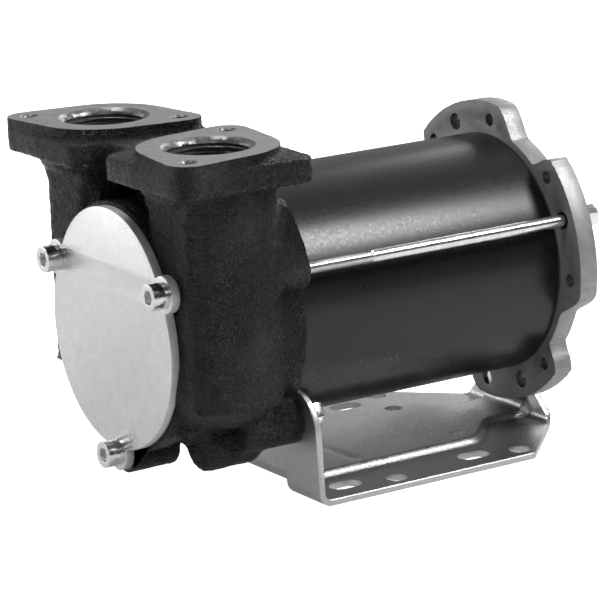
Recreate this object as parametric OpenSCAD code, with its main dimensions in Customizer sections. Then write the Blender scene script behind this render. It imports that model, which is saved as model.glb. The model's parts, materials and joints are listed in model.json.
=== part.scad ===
// Vane pump for diesel fuel, driven by a direct current motor on a pressed steel foot.
// Millimetres. The shaft runs along Y, with the pump cover facing -Y and the ports up.
// The origin is on the underside of the foot, midway between its four round holes.

/* [Foot] */
// Overall width of the foot
foot_w = 113; // [108:1:120]
// Thickness of the pressed steel sheet
sheet_t = 2.5; // [2:0.25:3]
// Inner radius of the bends in the sheet
bend_r = 2.5; // [1.5:0.5:3.5]
// Distance between the two rows of slots, across the shaft
slot_pitch_x = 88; // [85:1:90]
// Distance between the slots of one row, along the shaft
slot_pitch_y = 59; // [54:1:62]
// Width of a slot
slot_w = 8.5; // [6.5:0.5:9]
// End to end length of a slot
slot_l = 13.5; // [11:0.5:15]
// Distance between the two rows of round holes, across the shaft
hole_pitch_x = 98; // [95:1:99]
// Distance between the round holes of one row, along the shaft
hole_pitch_y = 57.5; // [54:0.5:59]
// Diameter of the round holes
hole_d = 8.5; // [6.5:0.5:9]
// How far the round holes sit behind the slots
hole_shift = 19; // [17:1:20]
// Distance from the front upright to the first slots
slot_inset = 19.1; // [16:0.1:22]
// Width of the raised platform between the rails
platform_w = 64.5; // [60:0.5:64.5]
// Rise of the platform over the rails
platform_rise = 2.4; // [1.6:0.1:2.4]
// Width of the platform where it meets the rear upright
platform_neck_w = 28; // [24:1:36]
// Distance from the round holes' middle to where the platform starts to narrow
platform_shoulder = 19; // [16:1:21]
// Length over which the platform narrows
platform_taper = 25; // [20:1:28]
// Diameter of the two holes in the platform
platform_hole_d = 7; // [5:0.5:8]
// Distance between the two holes in the platform
platform_hole_pitch = 44.6; // [40:0.2:46]
// Height of the front upright over the underside of the foot
upright_h = 42; // [41:0.5:44]
// Width of the front upright where its upper corners start
upright_top_w = 109; // [107:1:111]
// Radius of the upper corners of the front upright
upright_corner_r = 15; // [13:0.5:16]
// Radius of the rounded top of the rear tab
tab_top_r = 10; // [9:0.5:11]
// Sideways play of the screw in the rear tab's slot, to each side
tab_slot_play = 3; // [3:0.25:3.5]

/* [Shaft line] */
// Height of the shaft axis over the underside of the foot
shaft_h = 69; // [68.5:0.5:72]
// Diameter of the motor shaft in the rotor and the front bearing
shaft_d = 12; // [10:0.5:12]
// Diameter of the shaft in the rear bearing
shaft_rear_d = 10; // [8:0.5:10]
// Radius of the circle on which the end bell's holes and the tie rods lie
fixing_r = 52.8; // [52.8:0.1:53.4]

/* [Pump body] */
// Depth of the pump body from its front face to the motor seat
body_depth = 49.6; // [48:0.2:52]
// Diameter of the pump chamber
chamber_d = 68; // [64:1:70]
// Depth of the pump chamber
chamber_depth = 26; // [22:1:27]
// How far the chamber axis lies below the shaft axis
chamber_drop = 5; // [4:0.5:6]
// Diameter of the lower round of the front face
face_low_d = 89.6; // [88:0.2:91]
// Diameter of the upper round of the front face
face_high_d = 82.2; // [80:0.2:84]
// Height of the upper round's centre over the shaft axis
face_high_rise = 3.6; // [3:0.2:5]
// Depth of the front rim that the cover lies on
face_rim_t = 9; // [7:0.5:11]
// Diameter of the drum around the chamber
drum_d = 87; // [86:0.5:88]
// Diameter of the round rim at the motor seat
seat_rim_d = 102; // [101:0.5:104]
// Thickness of the round rim at the motor seat
seat_rim_t = 14; // [12:0.5:16]
// Outer radius of the ears that the tie rods screw into
ear_r = 59.5; // [58.5:0.5:60.5]
// Angle over which an ear reaches above its tie rod
ear_sweep = 24; // [20:1:26]
// Depth of the ears along the shaft
ear_t = 17; // [16:0.5:18]
// Radius of the circle on which the front foot studs lie
foot_stud_r = 54; // [53.5:0.1:54.5]
// Radius of the bosses that the foot is screwed to
foot_boss_r = 9.3; // [8.5:0.1:9.5]
// Length of the bosses that the foot is screwed to
foot_boss_l = 25; // [22:0.5:26]
// Distance of the lower lumps in front of those bosses from the middle plane
low_lump_x = 30; // [28:1:32]
// Depth of the lower lumps' axes below the shaft axis
low_lump_drop = 43.5; // [42:0.5:45]
// Radius of the lower lumps
low_lump_r = 10.5; // [9:0.5:11]
// Distance from the body's front face back to the lower lumps
low_lump_inset = 14; // [13:0.5:16]

/* [Ports] */
// Distance between the axes of the two ports
port_pitch = 75; // [74:0.5:78]
// Distance from the body's front face back to the port axes
port_inset = 19.1; // [18.6:0.1:20.5]
// Height of the machined port faces over the shaft axis
port_rise = 68.75; // [66:0.25:72]
// Wall radius of the threaded ports, G1 inside diameter halved
port_r = 15.15; // [14.5:0.05:15.5]
// Diameter of the chamfer at the mouth of a port
port_mouth_d = 34.5; // [33.5:0.5:36]
// Length of the thread in a port
port_thread_l = 18; // [15:1:20]
// Diameter of the relief below the thread
port_relief_d = 32; // [31.5:0.5:33]
// Height of the relief below the thread
port_relief_h = 3; // [2:0.5:4]
// Depth of a port, to its floor
port_depth = 41.7; // [40:0.1:42]
// Diameter of the passage below the relief
port_core_d = 28; // [26:0.5:28]
// Diameter of the column under a port
column_d = 48; // [46:0.5:49]
// How far the columns reach below the shaft axis
column_drop = 26; // [22:1:28]
// Diameter of the duct from a port into the chamber
duct_d = 16; // [12:0.5:17]
// Width of a square port flange
flange_w = 58.4; // [57:0.2:59]
// Thickness of the rough flange
flange_t = 9.4; // [8:0.2:11]
// Rise of the machined pad over the rough flange
pad_rise = 3.4; // [2.5:0.1:4]
// Diameter of the middle round of the machined pad
pad_d = 52; // [50:0.5:54]
// Distance between the two bolt holes of a port, along their diagonal
port_bolt_pitch = 58.5; // [57.5:0.25:59]
// Depth of the port bolt holes
port_bolt_depth = 11; // [9:0.5:12]
// Width of the web between the flanges, seen along the shaft
web_overlap = 2; // [1:0.5:4]
// Distance from the body's front face back to the web
web_inset = 2.5; // [1:0.5:5]
// Distance from the body's front face back to the wall between the columns
wall_inset = 14.5; // [12:0.5:16]

/* [Front cover] */
// Thickness of the cover plate
cover_t = 3.5; // [3:0.25:4]
// Radius of the circle on which the three cover screws lie
cover_screw_r = 45; // [44.5:0.25:45.5]
// Radius of a cover lug
lug_r = 7; // [6.5:0.25:7.5]
// How much the body stands out around the cover plate
face_margin = 1.5; // [1:0.25:2]
// Depth of the cover screw holes in the body
cover_hole_depth = 16; // [14:0.5:16.5]
// Length of the bosses behind the cover lugs
lug_boss_l = 20; // [17:0.5:21]
// Distance from the chamber wall to the middle of the seal groove
seal_land = 3.6; // [3.4:0.1:4]
// Thickness of the cover seal ring
seal_ring_d = 2.4; // [2:0.2:2.6]

/* [Small screws] */
// Nominal diameter of the cover, foot and port screws
screw_d = 6; // [5:0.5:6]
// Diameter of a cylinder head
head_d = 10; // [9.5:0.25:10.5]
// Height of a cylinder head
head_h = 6; // [5:0.25:6.5]
// Width across flats of the head's socket
socket_w = 5; // [4:0.25:5.25]
// Depth of the head's socket
socket_depth = 3; // [2:0.25:3.5]
// Depth of a front foot stud in its boss
stud_depth = 15; // [12:0.5:16]
// How far a stud stands out of its nut
stud_out = 1.5; // [1:0.25:2.5]
// Width across flats of a nut
nut_w = 10; // [9:0.5:10]
// Height of a nut
nut_h = 5; // [4.5:0.25:5.5]
// Outer diameter of the flat washers
washer_d = 11; // [10.6:0.1:11]
// Thickness of the flat washers
washer_t = 1.6; // [1:0.1:2]
// Outer diameter of the spring washers
spring_washer_d = 10.6; // [10:0.2:11]
// Thickness of the spring washers
spring_washer_t = 2.4; // [1.6:0.2:2.6]

/* [Vane rotor] */
// Number of vanes
vane_count = 5; // [5:1:5]
// Thickness of a vane
vane_t = 4; // [3:0.25:4.5]
// Radial length of a vane
vane_l = 14; // [12.5:0.25:14.5]
// Depth of a vane slot, from the rotor's round
vane_slot_depth = 15.5; // [15:0.25:16]
// Width of the rotor key
key_w = 4; // [3:0.25:4]
// Height of the rotor key
key_h = 4; // [3:0.25:4]
// Length of the rotor key
key_l = 16; // [12:0.5:18]
// Outer diameter of the shaft seal
lip_seal_d = 28; // [26:0.5:29]
// Thickness of the shaft seal
lip_seal_t = 7; // [6:0.5:7.5]

/* [Bypass valve] */
// Diameter of the bypass passage
bypass_d = 13; // [11:0.5:13]
// Diameter of the bypass seat opening
bypass_seat_d = 9; // [7:0.5:9]
// Distance from the port axes back to the bypass passage
bypass_shift = 8.5; // [8:0.5:9]
// Wall between the pumping chamber and the bypass bore
bypass_wall = 2.55; // [2:0.05:3.5]
// Distance that the bypass screw stays back from the port passage
bypass_screw_inset = 1.5; // [1:0.25:2]
// Outer diameter of the bypass spring
bypass_spring_d = 10.6; // [9:0.2:11]
// Diameter of the plug that closes the bypass bore
bypass_plug_d = 16; // [15:0.5:17]
// Length of the plug that closes the bypass bore
bypass_plug_l = 9; // [8:0.5:10]
// Diameter of the boss around the plug
plug_boss_d = 24; // [22:0.5:26]
// Thickness of the poppet's head
poppet_t = 3; // [2:0.25:3.5]
// Diameter of the poppet's stem
poppet_stem_d = 4; // [3:0.25:4.5]
// Distance from the middle plane to the seat of the poppet
bypass_seat_x = 2; // [0:0.5:3]
// Travel of the poppet
poppet_travel = 3; // [2:0.25:3]
// Wire thickness of the bypass spring
bypass_wire_d = 1.2; // [1:0.1:1.4]
// Length of the bypass screw
bypass_screw_l = 5; // [4:0.5:5.5]

/* [Motor] */
// Outer diameter of the motor tube
tube_d = 94; // [93:0.5:95]
// Wall thickness of the motor tube
tube_t = 2.5; // [2:0.25:3]
// Distance from the pump body's motor seat to the end bell
tube_span = 119; // [117:1:125]
// Depth to which the tube enters the pump body
tube_entry = 3; // [2.5:0.25:4]
// Thickness of the two tube gaskets
gasket_t = 0.5; // [0.4:0.1:0.8]
// Thickness of a magnet
magnet_t = 12; // [10:0.5:12.5]
// Length of the magnets
magnet_l = 66; // [60:1:70]
// Angle that one magnet covers
magnet_sweep = 72; // [66:1:78]
// Diameter of the armature core
core_d = 62; // [60:0.5:63]
// Length of the armature core
core_l = 58; // [54:1:62]
// Number of slots in the armature core
core_slots = 12; // [10:2:14]
// Depth of a slot in the armature core
core_slot_depth = 13; // [11:0.5:14]
// Width of a slot in the armature core
core_slot_w = 6; // [5:0.25:6.5]
// Length of a winding head at one end of the core
head_turn_l = 9; // [7:0.5:10]
// Distance from the motor seat to the middle of the armature core
core_station = 50; // [48:0.5:52]
// Diameter of the commutator
commutator_d = 30; // [28:0.5:31]
// Length of the commutator
commutator_l = 18; // [16:0.5:18]
// Gap between the winding head and the commutator
commutator_gap = 4; // [3:0.5:4.5]

/* [Brush gear] */
// Thickness of the brush ring
brush_ring_t = 3; // [2.5:0.25:3.5]
// Width of a brush along the shaft
brush_w = 8; // [7:0.25:9]
// Height of a brush across the shaft
brush_h = 6; // [5:0.25:6.5]
// Radial length of a brush
brush_l = 13; // [11:0.5:14]
// Sheet thickness of a brush box
brush_box_t = 0.8; // [0.6:0.1:1]
// Radial length of a brush box
brush_box_l = 20; // [18:0.5:21]
// Gap between a brush box and the commutator
brush_box_gap = 1.5; // [1:0.25:2]
// Distance that a brush can be pushed back against its spring
brush_travel = 3; // [2:0.25:3]
// Wire thickness of a brush spring
brush_wire_d = 0.7; // [0.5:0.05:0.8]
// Inner radius of the brush ring
brush_ring_inner_r = 21; // [20:0.5:22]
// Outer radius of the brush ring
brush_ring_outer_r = 42; // [41:0.5:43]
// Diameter of the brush ring screws
brush_screw_d = 4; // [3:0.5:4]
// Radius of the circle on which the brush ring screws lie
brush_screw_r = 33; // [32:0.5:34]
// Diameter of the heads of the brush ring screws
brush_head_d = 7; // [6:0.5:8]
// Height of the heads of the brush ring screws
brush_head_h = 2.6; // [2:0.2:3]
// Depth of the brush ring screws in the end bell
brush_screw_depth = 6.5; // [5:0.5:7]
// Diameter of the posts that carry the brush ring screws
brush_post_d = 9; // [8:0.5:10]

/* [End bell] */
// Thickness of the end bell's plate
bell_t = 8; // [7.5:0.25:9]
// Outer radius of the end bell's lobes
lobe_r = 59.8; // [59.5:0.1:60.5]
// Angle that one lobe covers between the middles of its end rounds
lobe_sweep = 45; // [42:0.5:48]
// Angle from a lobe's first end round to its tie rod hole
lobe_lead = 25.5; // [24:0.5:27]
// Angle of the first tie rod over the horizontal
rod_turn = 22.5; // [21:0.5:24]
// Diameter of the round of the end bell between the lobes
bell_d = 99; // [98:0.5:100]
// Length of the end bell's spigot in the tube
spigot_l = 4; // [3:0.25:5]
// Diameter of the rear bearing boss inside the end bell
bell_boss_d = 38; // [36:0.5:40]
// Diameter of the rear bearing boss outside the end bell
bell_back_d = 36; // [34:0.5:38]
// How far the rear bearing boss stands out behind the end bell
bell_back_l = 5; // [4:0.5:6]
// Thickness of the boss behind the rear bearing
back_floor_t = 3; // [2:0.25:4]
// Diameter of the plain holes in the lobes
lobe_hole_d = 6.8; // [6:0.1:7.4]
// Tapping diameter of the threaded holes in the lobes
thread_hole_d = 5; // [4.2:0.1:5.2]
// Wall thickness of the end bell's spigot
spigot_t = 4; // [3:0.25:4.5]
// Diameter of the cable grommet where it passes the end bell
grommet_d = 12; // [10:0.5:12]
// Diameter of the cable passage in the grommet
grommet_bore_d = 7; // [5:0.5:8]
// Radius on which the grommet lies
grommet_r = 31; // [30:0.5:32]
// Angle at which the grommet lies
grommet_turn = 160; // [140:5:180]

/* [Bearings] */
// Outer diameter of the front bearing
front_bearing_d = 32; // [30:0.5:32]
// Width of the front bearing
front_bearing_w = 10; // [9:0.5:10]
// Outer diameter of the rear bearing
rear_bearing_d = 26; // [24:0.5:26]
// Width of the rear bearing
rear_bearing_w = 8; // [7:0.5:8]
// Radial space between the bearing rings at the front bearing
front_race_t = 4.4; // [3.6:0.1:4.6]
// Radial space between the bearing rings at the rear bearing
rear_race_t = 2.6; // [2:0.1:2.8]
// Thickness of the wave washer as fitted
wave_washer_t = 1.5; // [1:0.25:2]

/* [Tie rods] */
// Diameter of the tie rods
rod_d = 5; // [4.5:0.1:5]
// Depth to which a tie rod screws into its ear
rod_depth = 14; // [11:0.5:15]
// Width across flats of a tie rod's head
rod_head_w = 8; // [7:0.5:8.5]
// Height of a tie rod's head
rod_head_h = 5; // [4:0.25:5.5]

/* [Hidden] */

// One overrun serves all cuts
over = 1;
// Radial clearance of a running fit
run_gap = 0.05;
// Clearance of a sliding piece in its guide
slide_gap = 0.1;
// Clearance between pieces that are assembled by hand
loose_gap = 0.25;
// Depth of a bite that keeps two solids of one piece joined
bite = 0.5;
// Chamfer at the mouth of a threaded hole
mouth_chamfer = 0.5;
// Fillet radius where cast shapes end
cast_r = 2;
// Difference between the shaft's middle and its ends, as a radius
shaft_step = 1;
// Depth of the ball groove in a bearing ring
race_groove = 0.5;
// Gap between a brush and the commutator
brush_gap = 0.15;
// Gap between the pump shaft's end and the cover
shaft_end_gap = 1;
// Space that a screw leaves at the end of its hole
screw_end_gap = 2;
// Number of facets of the rounds
$fn = 48;
// Number of facets of the large rounds
big_fn = 96;

// Stations along the shaft, from the front
seat_y = -(slot_pitch_y / 2 + slot_inset + hole_shift);
body_front_y = seat_y - body_depth;
cover_front_y = body_front_y - cover_t;
port_y = body_front_y + port_inset;
chamber_back_y = body_front_y + chamber_depth;
tube_floor_y = seat_y - tube_entry;
front_bearing_y = tube_floor_y - front_bearing_w;
seal_y = front_bearing_y - lip_seal_t;
bell_y = seat_y + tube_span;
bell_back_y = bell_y + bell_t;
boss_back_y = bell_back_y + bell_back_l;
pocket_y = boss_back_y - back_floor_t;
rear_bearing_y = pocket_y - wave_washer_t - rear_bearing_w;
spigot_y = bell_y - spigot_l;
ring_y = spigot_y - brush_ring_t;
core_y = seat_y + core_station - core_l / 2;
head_end_y = core_y + core_l + head_turn_l;
commutator_y = head_end_y + commutator_gap;
brush_y = commutator_y + commutator_l / 2;
foot_back_y = bell_back_y + sheet_t;

// Sizes that follow from the named ones
shaft_mid_d = shaft_d + 2 * shaft_step;
tube_r = tube_d / 2;
tube_in_r = tube_r - tube_t;
bolt_off = port_bolt_pitch / 2 / sqrt(2);
flange_corner_r = flange_w / 2 - bolt_off;
flange_low = port_rise - pad_rise - flange_t;
floor_rise = port_rise - port_depth;
bypass_y = port_y + bypass_shift;
bypass_z = shaft_h + chamber_d / 2 - chamber_drop + bypass_wall + bypass_d / 2;
port_side_x = port_pitch / 2 + column_d / 2;
bypass_screw_x = port_pitch / 2 - port_core_d / 2 - bypass_screw_inset;
bypass_stem_x = bypass_screw_x - poppet_travel;
rotor_r = chamber_d / 2 - chamber_drop - run_gap;
seal_ring_r = chamber_d / 2 + seal_land;
vane_in_r = rotor_r - vane_slot_depth + run_gap;
rotor_y = body_front_y + slide_gap;
rotor_l = chamber_depth - 2 * slide_gap;
lug_turns = [30, 150, 270];
tab_axis_z = shaft_h - fixing_r;
tab_root = tab_axis_z + tab_top_r * sqrt(2);
bend_out_r = bend_r + sheet_t;
tail_y = foot_back_y - bend_out_r;
rear_stack = sheet_t + washer_t + spring_washer_t;
stud_x = platform_w / 2 + washer_d / 2 + slide_gap;
stud_z = -sqrt(pow(foot_stud_r, 2) - pow(stud_x, 2));
hex_corner = 1 / cos(30);

// A flat shape, seen from behind the cover with X to the right, pushed along the shaft
module along_y(y0, y1)
    translate([0, y1, shaft_h])
    rotate([90, 0, 0])
    linear_extrude(y1 - y0)
    children();

// A round bar or bore along the shaft's direction, placed from the shaft axis
module bar_y(x, z, r, y0, y1)
    translate([x, y0, shaft_h + z])
    rotate([-90, 0, 0])
    cylinder(h = y1 - y0, r = r);

// A ring around the shaft axis
module ring_y(r_out, r_in, y0, y1)
    difference() {
        bar_y(0, 0, r_out, y0, y1, $fn = big_fn);
        bar_y(0, 0, r_in, y0 - over, y1 + over, $fn = big_fn);
    }

// A round bar or bore along X, from x0 to x1
module bar_x(y, z, r, x0, x1)
    translate([x0, y, z])
    rotate([0, 90, 0])
    cylinder(h = x1 - x0, r = r);

// Points of an arc about a centre
function arc(centre, r, start, sweep, steps) =
    [for (i = [0 : steps]) centre + r * [cos(start + sweep * i / steps), sin(start + sweep * i / steps)]];

// A lobe with two round ends on the fixing circle
module lobe(r, start, sweep) {
    end = start + sweep;
    polygon(concat([[0, 0]],
        arc(fixing_r * [cos(start), sin(start)], r - fixing_r, start - 180, 180, 10),
        arc([0, 0], r, start + 1, sweep - 2, 10),
        arc(fixing_r * [cos(end), sin(end)], r - fixing_r, end, 180, 10)));
}

// The outline of the front face, drawn in by a distance
module face_outline(draw_in) {
        translate([0, -chamber_drop])
        circle(face_low_d / 2 - draw_in, $fn = big_fn);
        translate([0, face_high_rise])
        circle(face_high_d / 2 - draw_in, $fn = big_fn);
        translate([0, -chamber_drop])
        for (turn = lug_turns)
            rotate(turn)
            translate([cover_screw_r, 0])
            circle(lug_r + face_margin - draw_in);
}

// A square with rounded corners
module rounded_square(w, r) {
    c = w / 2 - r;
    polygon(concat(arc([c, c], r, 0, 90, 8), arc([-c, c], r, 90, 90, 8),
        arc([-c, -c], r, 180, 90, 8), arc([c, -c], r, 270, 90, 8)));
}

// A round with two smaller rounds joined to it by straight flanks, along the X direction
module pad_outline(r, end_r, reach) {
    lean = acos((r - end_r) / reach);
    polygon(concat(arc([reach, 0], end_r, -lean, 2 * lean, 12), arc([0, 0], r, lean, 180 - 2 * lean, 12),
        arc([-reach, 0], end_r, 180 - lean, 2 * lean, 12),
        arc([0, 0], r, 180 + lean, 180 - 2 * lean, 12)));
}

// A coil spring standing on the ground plane
module coil(r, wire, length, turns) {
    sides = 6;
    steps = 12 * turns;
    points = [for (i = [0 : steps], j = [0 : sides - 1])
        let (a = 360 * turns * i / steps, b = 360 * j / sides, q = r + wire / 2 * cos(b))
        [q * cos(a), q * sin(a), wire / 2 + (length - wire) * i / steps + wire / 2 * sin(b)]];
    walls = [for (i = [0 : steps - 1], j = [0 : sides - 1], half = [0, 1])
        let (k = (j + 1) % sides, p = i * sides)
        half == 0 ? [p + j, p + k, p + sides + k] : [p + j, p + sides + k, p + sides + j]];
    polyhedron(points, concat(walls,
        [[for (j = [sides - 1 : -1 : 0]) j], [for (j = [0 : sides - 1]) steps * sides + j]]));
}

// The ground shape of a ball bearing's free space
module race(r_mid, ball_r, y_mid)
    translate([0, y_mid, shaft_h])
    rotate([90, 0, 0])
    rotate_extrude($fn = big_fn)
    translate([r_mid, 0])
    circle(ball_r + run_gap, $fn = 24);

// A square flange with its column, on the side that s gives
module port_casting(s)
    translate([s * port_pitch / 2, port_y, shaft_h]) {
        translate([0, 0, flange_low])
        linear_extrude(flange_t)
        rounded_square(flange_w, flange_corner_r);
        translate([0, 0, flange_low + flange_t - bite])
        linear_extrude(pad_rise + bite)
        rotate(-45 * s)
        pad_outline(pad_d / 2, flange_corner_r - slide_gap, port_bolt_pitch / 2);
        difference() {
            translate([0, 0, -column_drop])
            cylinder(h = column_drop + flange_low + bite, d = column_d);
            translate([-column_d, -port_inset - column_d, -column_drop - over])
            cube([2 * column_d, column_d, column_drop + flange_low + over]);
        }
    }

// The hollow of a port, on the side that s gives
module port_hollow(s)
    translate([s * port_pitch / 2, port_y, shaft_h + port_rise]) {
        translate([0, 0, -port_thread_l])
        cylinder(h = port_thread_l + over, r = port_r);
        translate([0, 0, port_r - port_mouth_d / 2])
        cylinder(h = port_mouth_d / 2 - port_r, r1 = port_r, d2 = port_mouth_d);
        translate([0, 0, -port_thread_l - port_relief_h])
        cylinder(h = port_relief_h + bite, d = port_relief_d);
        translate([0, 0, -port_depth])
        cylinder(h = port_depth, d = port_core_d);
        for (e = [-1, 1])
            translate([e * s * bolt_off, -e * bolt_off, -port_bolt_depth])
            cylinder(h = port_bolt_depth + over, d = screw_d);
    }

// The duct from a port down into the chamber
module duct(s) {
    drop = floor_rise + duct_d / 2 + chamber_drop;
    reach = sqrt(pow(port_pitch / 2, 2) + pow(drop, 2));
    translate([s * port_pitch / 2, chamber_back_y - duct_d / 2 - over, shaft_h + floor_rise + duct_d / 2])
    rotate([0, atan2(-s * port_pitch / 2, -drop), 0])
    cylinder(h = reach - sqrt(pow(chamber_d / 2, 2) - pow(duct_d / 2, 2)) + over, d = duct_d);
}

module pump_body()
    color("#26272b")
    difference() {
        union() {
            along_y(body_front_y, body_front_y + face_rim_t)
            face_outline(0);
            bar_y(0, -chamber_drop, drum_d / 2, body_front_y, seat_y - seat_rim_t + bite, $fn = big_fn);
            for (turn = lug_turns)
                bar_y(cover_screw_r * cos(turn), cover_screw_r * sin(turn) - chamber_drop,
                    lug_r + face_margin, body_front_y, body_front_y + lug_boss_l);
            bar_y(0, 0, seat_rim_d / 2, seat_y - seat_rim_t, seat_y, $fn = big_fn);
            along_y(seat_y - ear_t, seat_y) {
                lobe(ear_r, rod_turn, ear_sweep);
                lobe(ear_r, rod_turn + 180, ear_sweep);
            }
            for (s = [-1, 1]) {
                port_casting(s);
                bar_y(s * stud_x, stud_z, foot_boss_r, seat_y - foot_boss_l, seat_y);
                bar_y(s * low_lump_x, -low_lump_drop, low_lump_r,
                    body_front_y + low_lump_inset, seat_y - seat_rim_t + bite);
            }
            // The web between the flanges
            web_half = port_pitch / 2 - flange_w / 2 + web_overlap;
            translate([-web_half, body_front_y + web_inset, shaft_h + flange_low])
            cube([2 * web_half, port_y + flange_w / 2 - web_overlap - body_front_y - web_inset, flange_t]);
            // The wall between the columns, which holds the bypass
            wall_half = port_pitch / 2 - column_d / 4;
            translate([-wall_half, body_front_y + wall_inset, shaft_h + floor_rise])
            cube([2 * wall_half, bypass_y + bypass_d - body_front_y - wall_inset - slide_gap,
                flange_low + flange_t - floor_rise - bite]);
            bar_x(bypass_y, bypass_z, plug_boss_d / 2, -port_side_x, -port_pitch / 2);
        }
        // Chamber, seal groove and cover holes
        bar_y(0, -chamber_drop, chamber_d / 2, body_front_y - over, chamber_back_y, $fn = big_fn);
        translate([0, body_front_y - over, shaft_h - chamber_drop])
        rotate([-90, 0, 0])
        difference() {
            cylinder(h = over + seal_ring_d, r = seal_ring_r + seal_ring_d / 2 + slide_gap, $fn = big_fn);
            translate([0, 0, -over])
            cylinder(h = 3 * over + seal_ring_d, r = seal_ring_r - seal_ring_d / 2 - slide_gap,
                $fn = big_fn);
        }
        for (turn = lug_turns)
            bar_y(cover_screw_r * cos(turn), cover_screw_r * sin(turn) - chamber_drop, screw_d / 2,
                body_front_y - over, body_front_y + cover_hole_depth);
        // Shaft bore, seal seat, bearing seat and motor seat
        bar_y(0, 0, shaft_d / 2 + loose_gap, chamber_back_y - over, seat_y);
        bar_y(0, 0, lip_seal_d / 2, seal_y, seat_y);
        bar_y(0, 0, front_bearing_d / 2, front_bearing_y, seat_y, $fn = big_fn);
        bar_y(0, 0, tube_r + run_gap, tube_floor_y, seat_y + over, $fn = big_fn);
        // Ports, ducts and bypass
        for (s = [-1, 1]) {
            port_hollow(s);
            duct(s);
            bar_y(s * stud_x, stud_z, screw_d / 2, seat_y - stud_depth, seat_y + over);
            bar_y(s * fixing_r * cos(rod_turn), s * fixing_r * sin(rod_turn), rod_d / 2,
                seat_y - rod_depth, seat_y + over);
        }
        bar_x(bypass_y, bypass_z, bypass_seat_d / 2, -bypass_seat_x - over, port_pitch / 2);
        bar_x(bypass_y, bypass_z, bypass_d / 2, -port_pitch / 2, -bypass_seat_x);
        bar_x(bypass_y, bypass_z, bypass_plug_d / 2, -port_side_x - over, -port_pitch / 2);
    }

module front_cover()
    color("#d4d4d6")
    difference() {
        along_y(cover_front_y, body_front_y)
        face_outline(face_margin);
        for (turn = lug_turns)
            bar_y(cover_screw_r * cos(turn), cover_screw_r * sin(turn) - chamber_drop,
                screw_d / 2 + loose_gap, cover_front_y - over, body_front_y + over);
    }

module cover_screws()
    color("#c9c9c9")
    for (turn = lug_turns)
        translate([cover_screw_r * cos(turn), 0, cover_screw_r * sin(turn) - chamber_drop])
        difference() {
            union() {
                bar_y(0, 0, head_d / 2, cover_front_y - head_h, cover_front_y);
                bar_y(0, 0, screw_d / 2, cover_front_y - bite,
                    body_front_y + cover_hole_depth - screw_end_gap);
            }
            bar_y(0, 0, socket_w / 2 * hex_corner, cover_front_y - head_h - over,
                cover_front_y - head_h + socket_depth, $fn = 6);
        }

module cover_seal_ring()
    color("#202020")
    translate([0, body_front_y + seal_ring_d / 2, shaft_h - chamber_drop])
    rotate([90, 0, 0])
    rotate_extrude($fn = big_fn)
    translate([seal_ring_r, 0])
    circle(d = seal_ring_d, $fn = 16);

module rotor()
    color("#8d9096")
    difference() {
        bar_y(0, 0, rotor_r, rotor_y, rotor_y + rotor_l, $fn = big_fn);
        bar_y(0, 0, shaft_d / 2, rotor_y - over, rotor_y + rotor_l + over);
        for (k = [0 : vane_count - 1])
            translate([0, rotor_y - over, shaft_h])
            rotate([0, -90 - 360 / vane_count * k, 0])
            translate([rotor_r - vane_slot_depth, 0, -vane_t / 2 - slide_gap])
            cube([vane_slot_depth + over, rotor_l + 2 * over, vane_t + 2 * slide_gap]);
        translate([-key_w / 2, rotor_y - over, shaft_h - shaft_d / 2 - key_h / 2])
        cube([key_w, rotor_l + 2 * over, shaft_d / 2]);
    }

// One vane, the k-th counted from the top
module vane(k)
    color("#4a3f33")
    translate([0, rotor_y, shaft_h])
    rotate([0, -90 - 360 / vane_count * k, 0])
    translate([vane_in_r, 0, -vane_t / 2])
    cube([vane_l, rotor_l, vane_t]);

module vane_1() vane(0);
module vane_2() vane(1);
module vane_3() vane(2);
module vane_4() vane(3);
module vane_5() vane(4);

module rotor_key()
    color("#9a9a9a")
    translate([-key_w / 2, rotor_y + rotor_l / 2 - key_l / 2, shaft_h - shaft_d / 2 - key_h / 2])
    cube([key_w, key_l, key_h]);

module shaft_seal()
    color("#2a2a2a")
    ring_y(lip_seal_d / 2, shaft_d / 2 + run_gap, seal_y, front_bearing_y);

module bypass_poppet()
    color("#b89a52")
    union() {
        bar_x(bypass_y, bypass_z, bypass_spring_d / 2, -bypass_seat_x - poppet_t, -bypass_seat_x);
        bar_x(bypass_y, bypass_z, poppet_stem_d / 2, -bypass_stem_x, -bypass_seat_x - bite);
    }

module bypass_spring()
    color("#a8a8a8")
    translate([-bypass_screw_x + bypass_screw_l, bypass_y, bypass_z])
    rotate([0, 90, 0])
    coil(bypass_spring_d / 2 - bypass_wire_d / 2, bypass_wire_d,
        bypass_screw_x - bypass_screw_l - bypass_seat_x - poppet_t, 5);

module bypass_screw()
    color("#b89a52")
    difference() {
        bar_x(bypass_y, bypass_z, bypass_d / 2, -bypass_screw_x, -bypass_screw_x + bypass_screw_l);
        bar_x(bypass_y, bypass_z, poppet_stem_d / 2 + run_gap, -bypass_screw_x - over,
            -bypass_screw_x + bypass_screw_l + over);
        for (k = [0 : 2])
            translate([0, bypass_y, bypass_z])
            rotate([120 * k, 0, 0])
            bar_x(0, (bypass_d + poppet_stem_d) / 4, bypass_wire_d,
                -bypass_screw_x - over, -bypass_screw_x + bypass_screw_l + over);
    }

module bypass_plug()
    color("#9a9a9a")
    difference() {
        bar_x(bypass_y, bypass_z, bypass_plug_d / 2, -port_side_x, -port_side_x + bypass_plug_l);
        translate([-port_side_x - over, bypass_y, bypass_z])
        rotate([0, 90, 0])
        cylinder(h = socket_depth + over, r = bypass_plug_d / 4 * hex_corner, $fn = 6);
    }

// The outer ring of a ball bearing
module outer_ring(d, inner_d, race_t, y0, w)
    color("#c4c6c8")
    difference() {
        ring_y(d / 2, (d + inner_d) / 4 + race_t / 2, y0, y0 + w);
        race((d + inner_d) / 4, race_t / 2 + race_groove, y0 + w / 2);
    }

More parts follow.
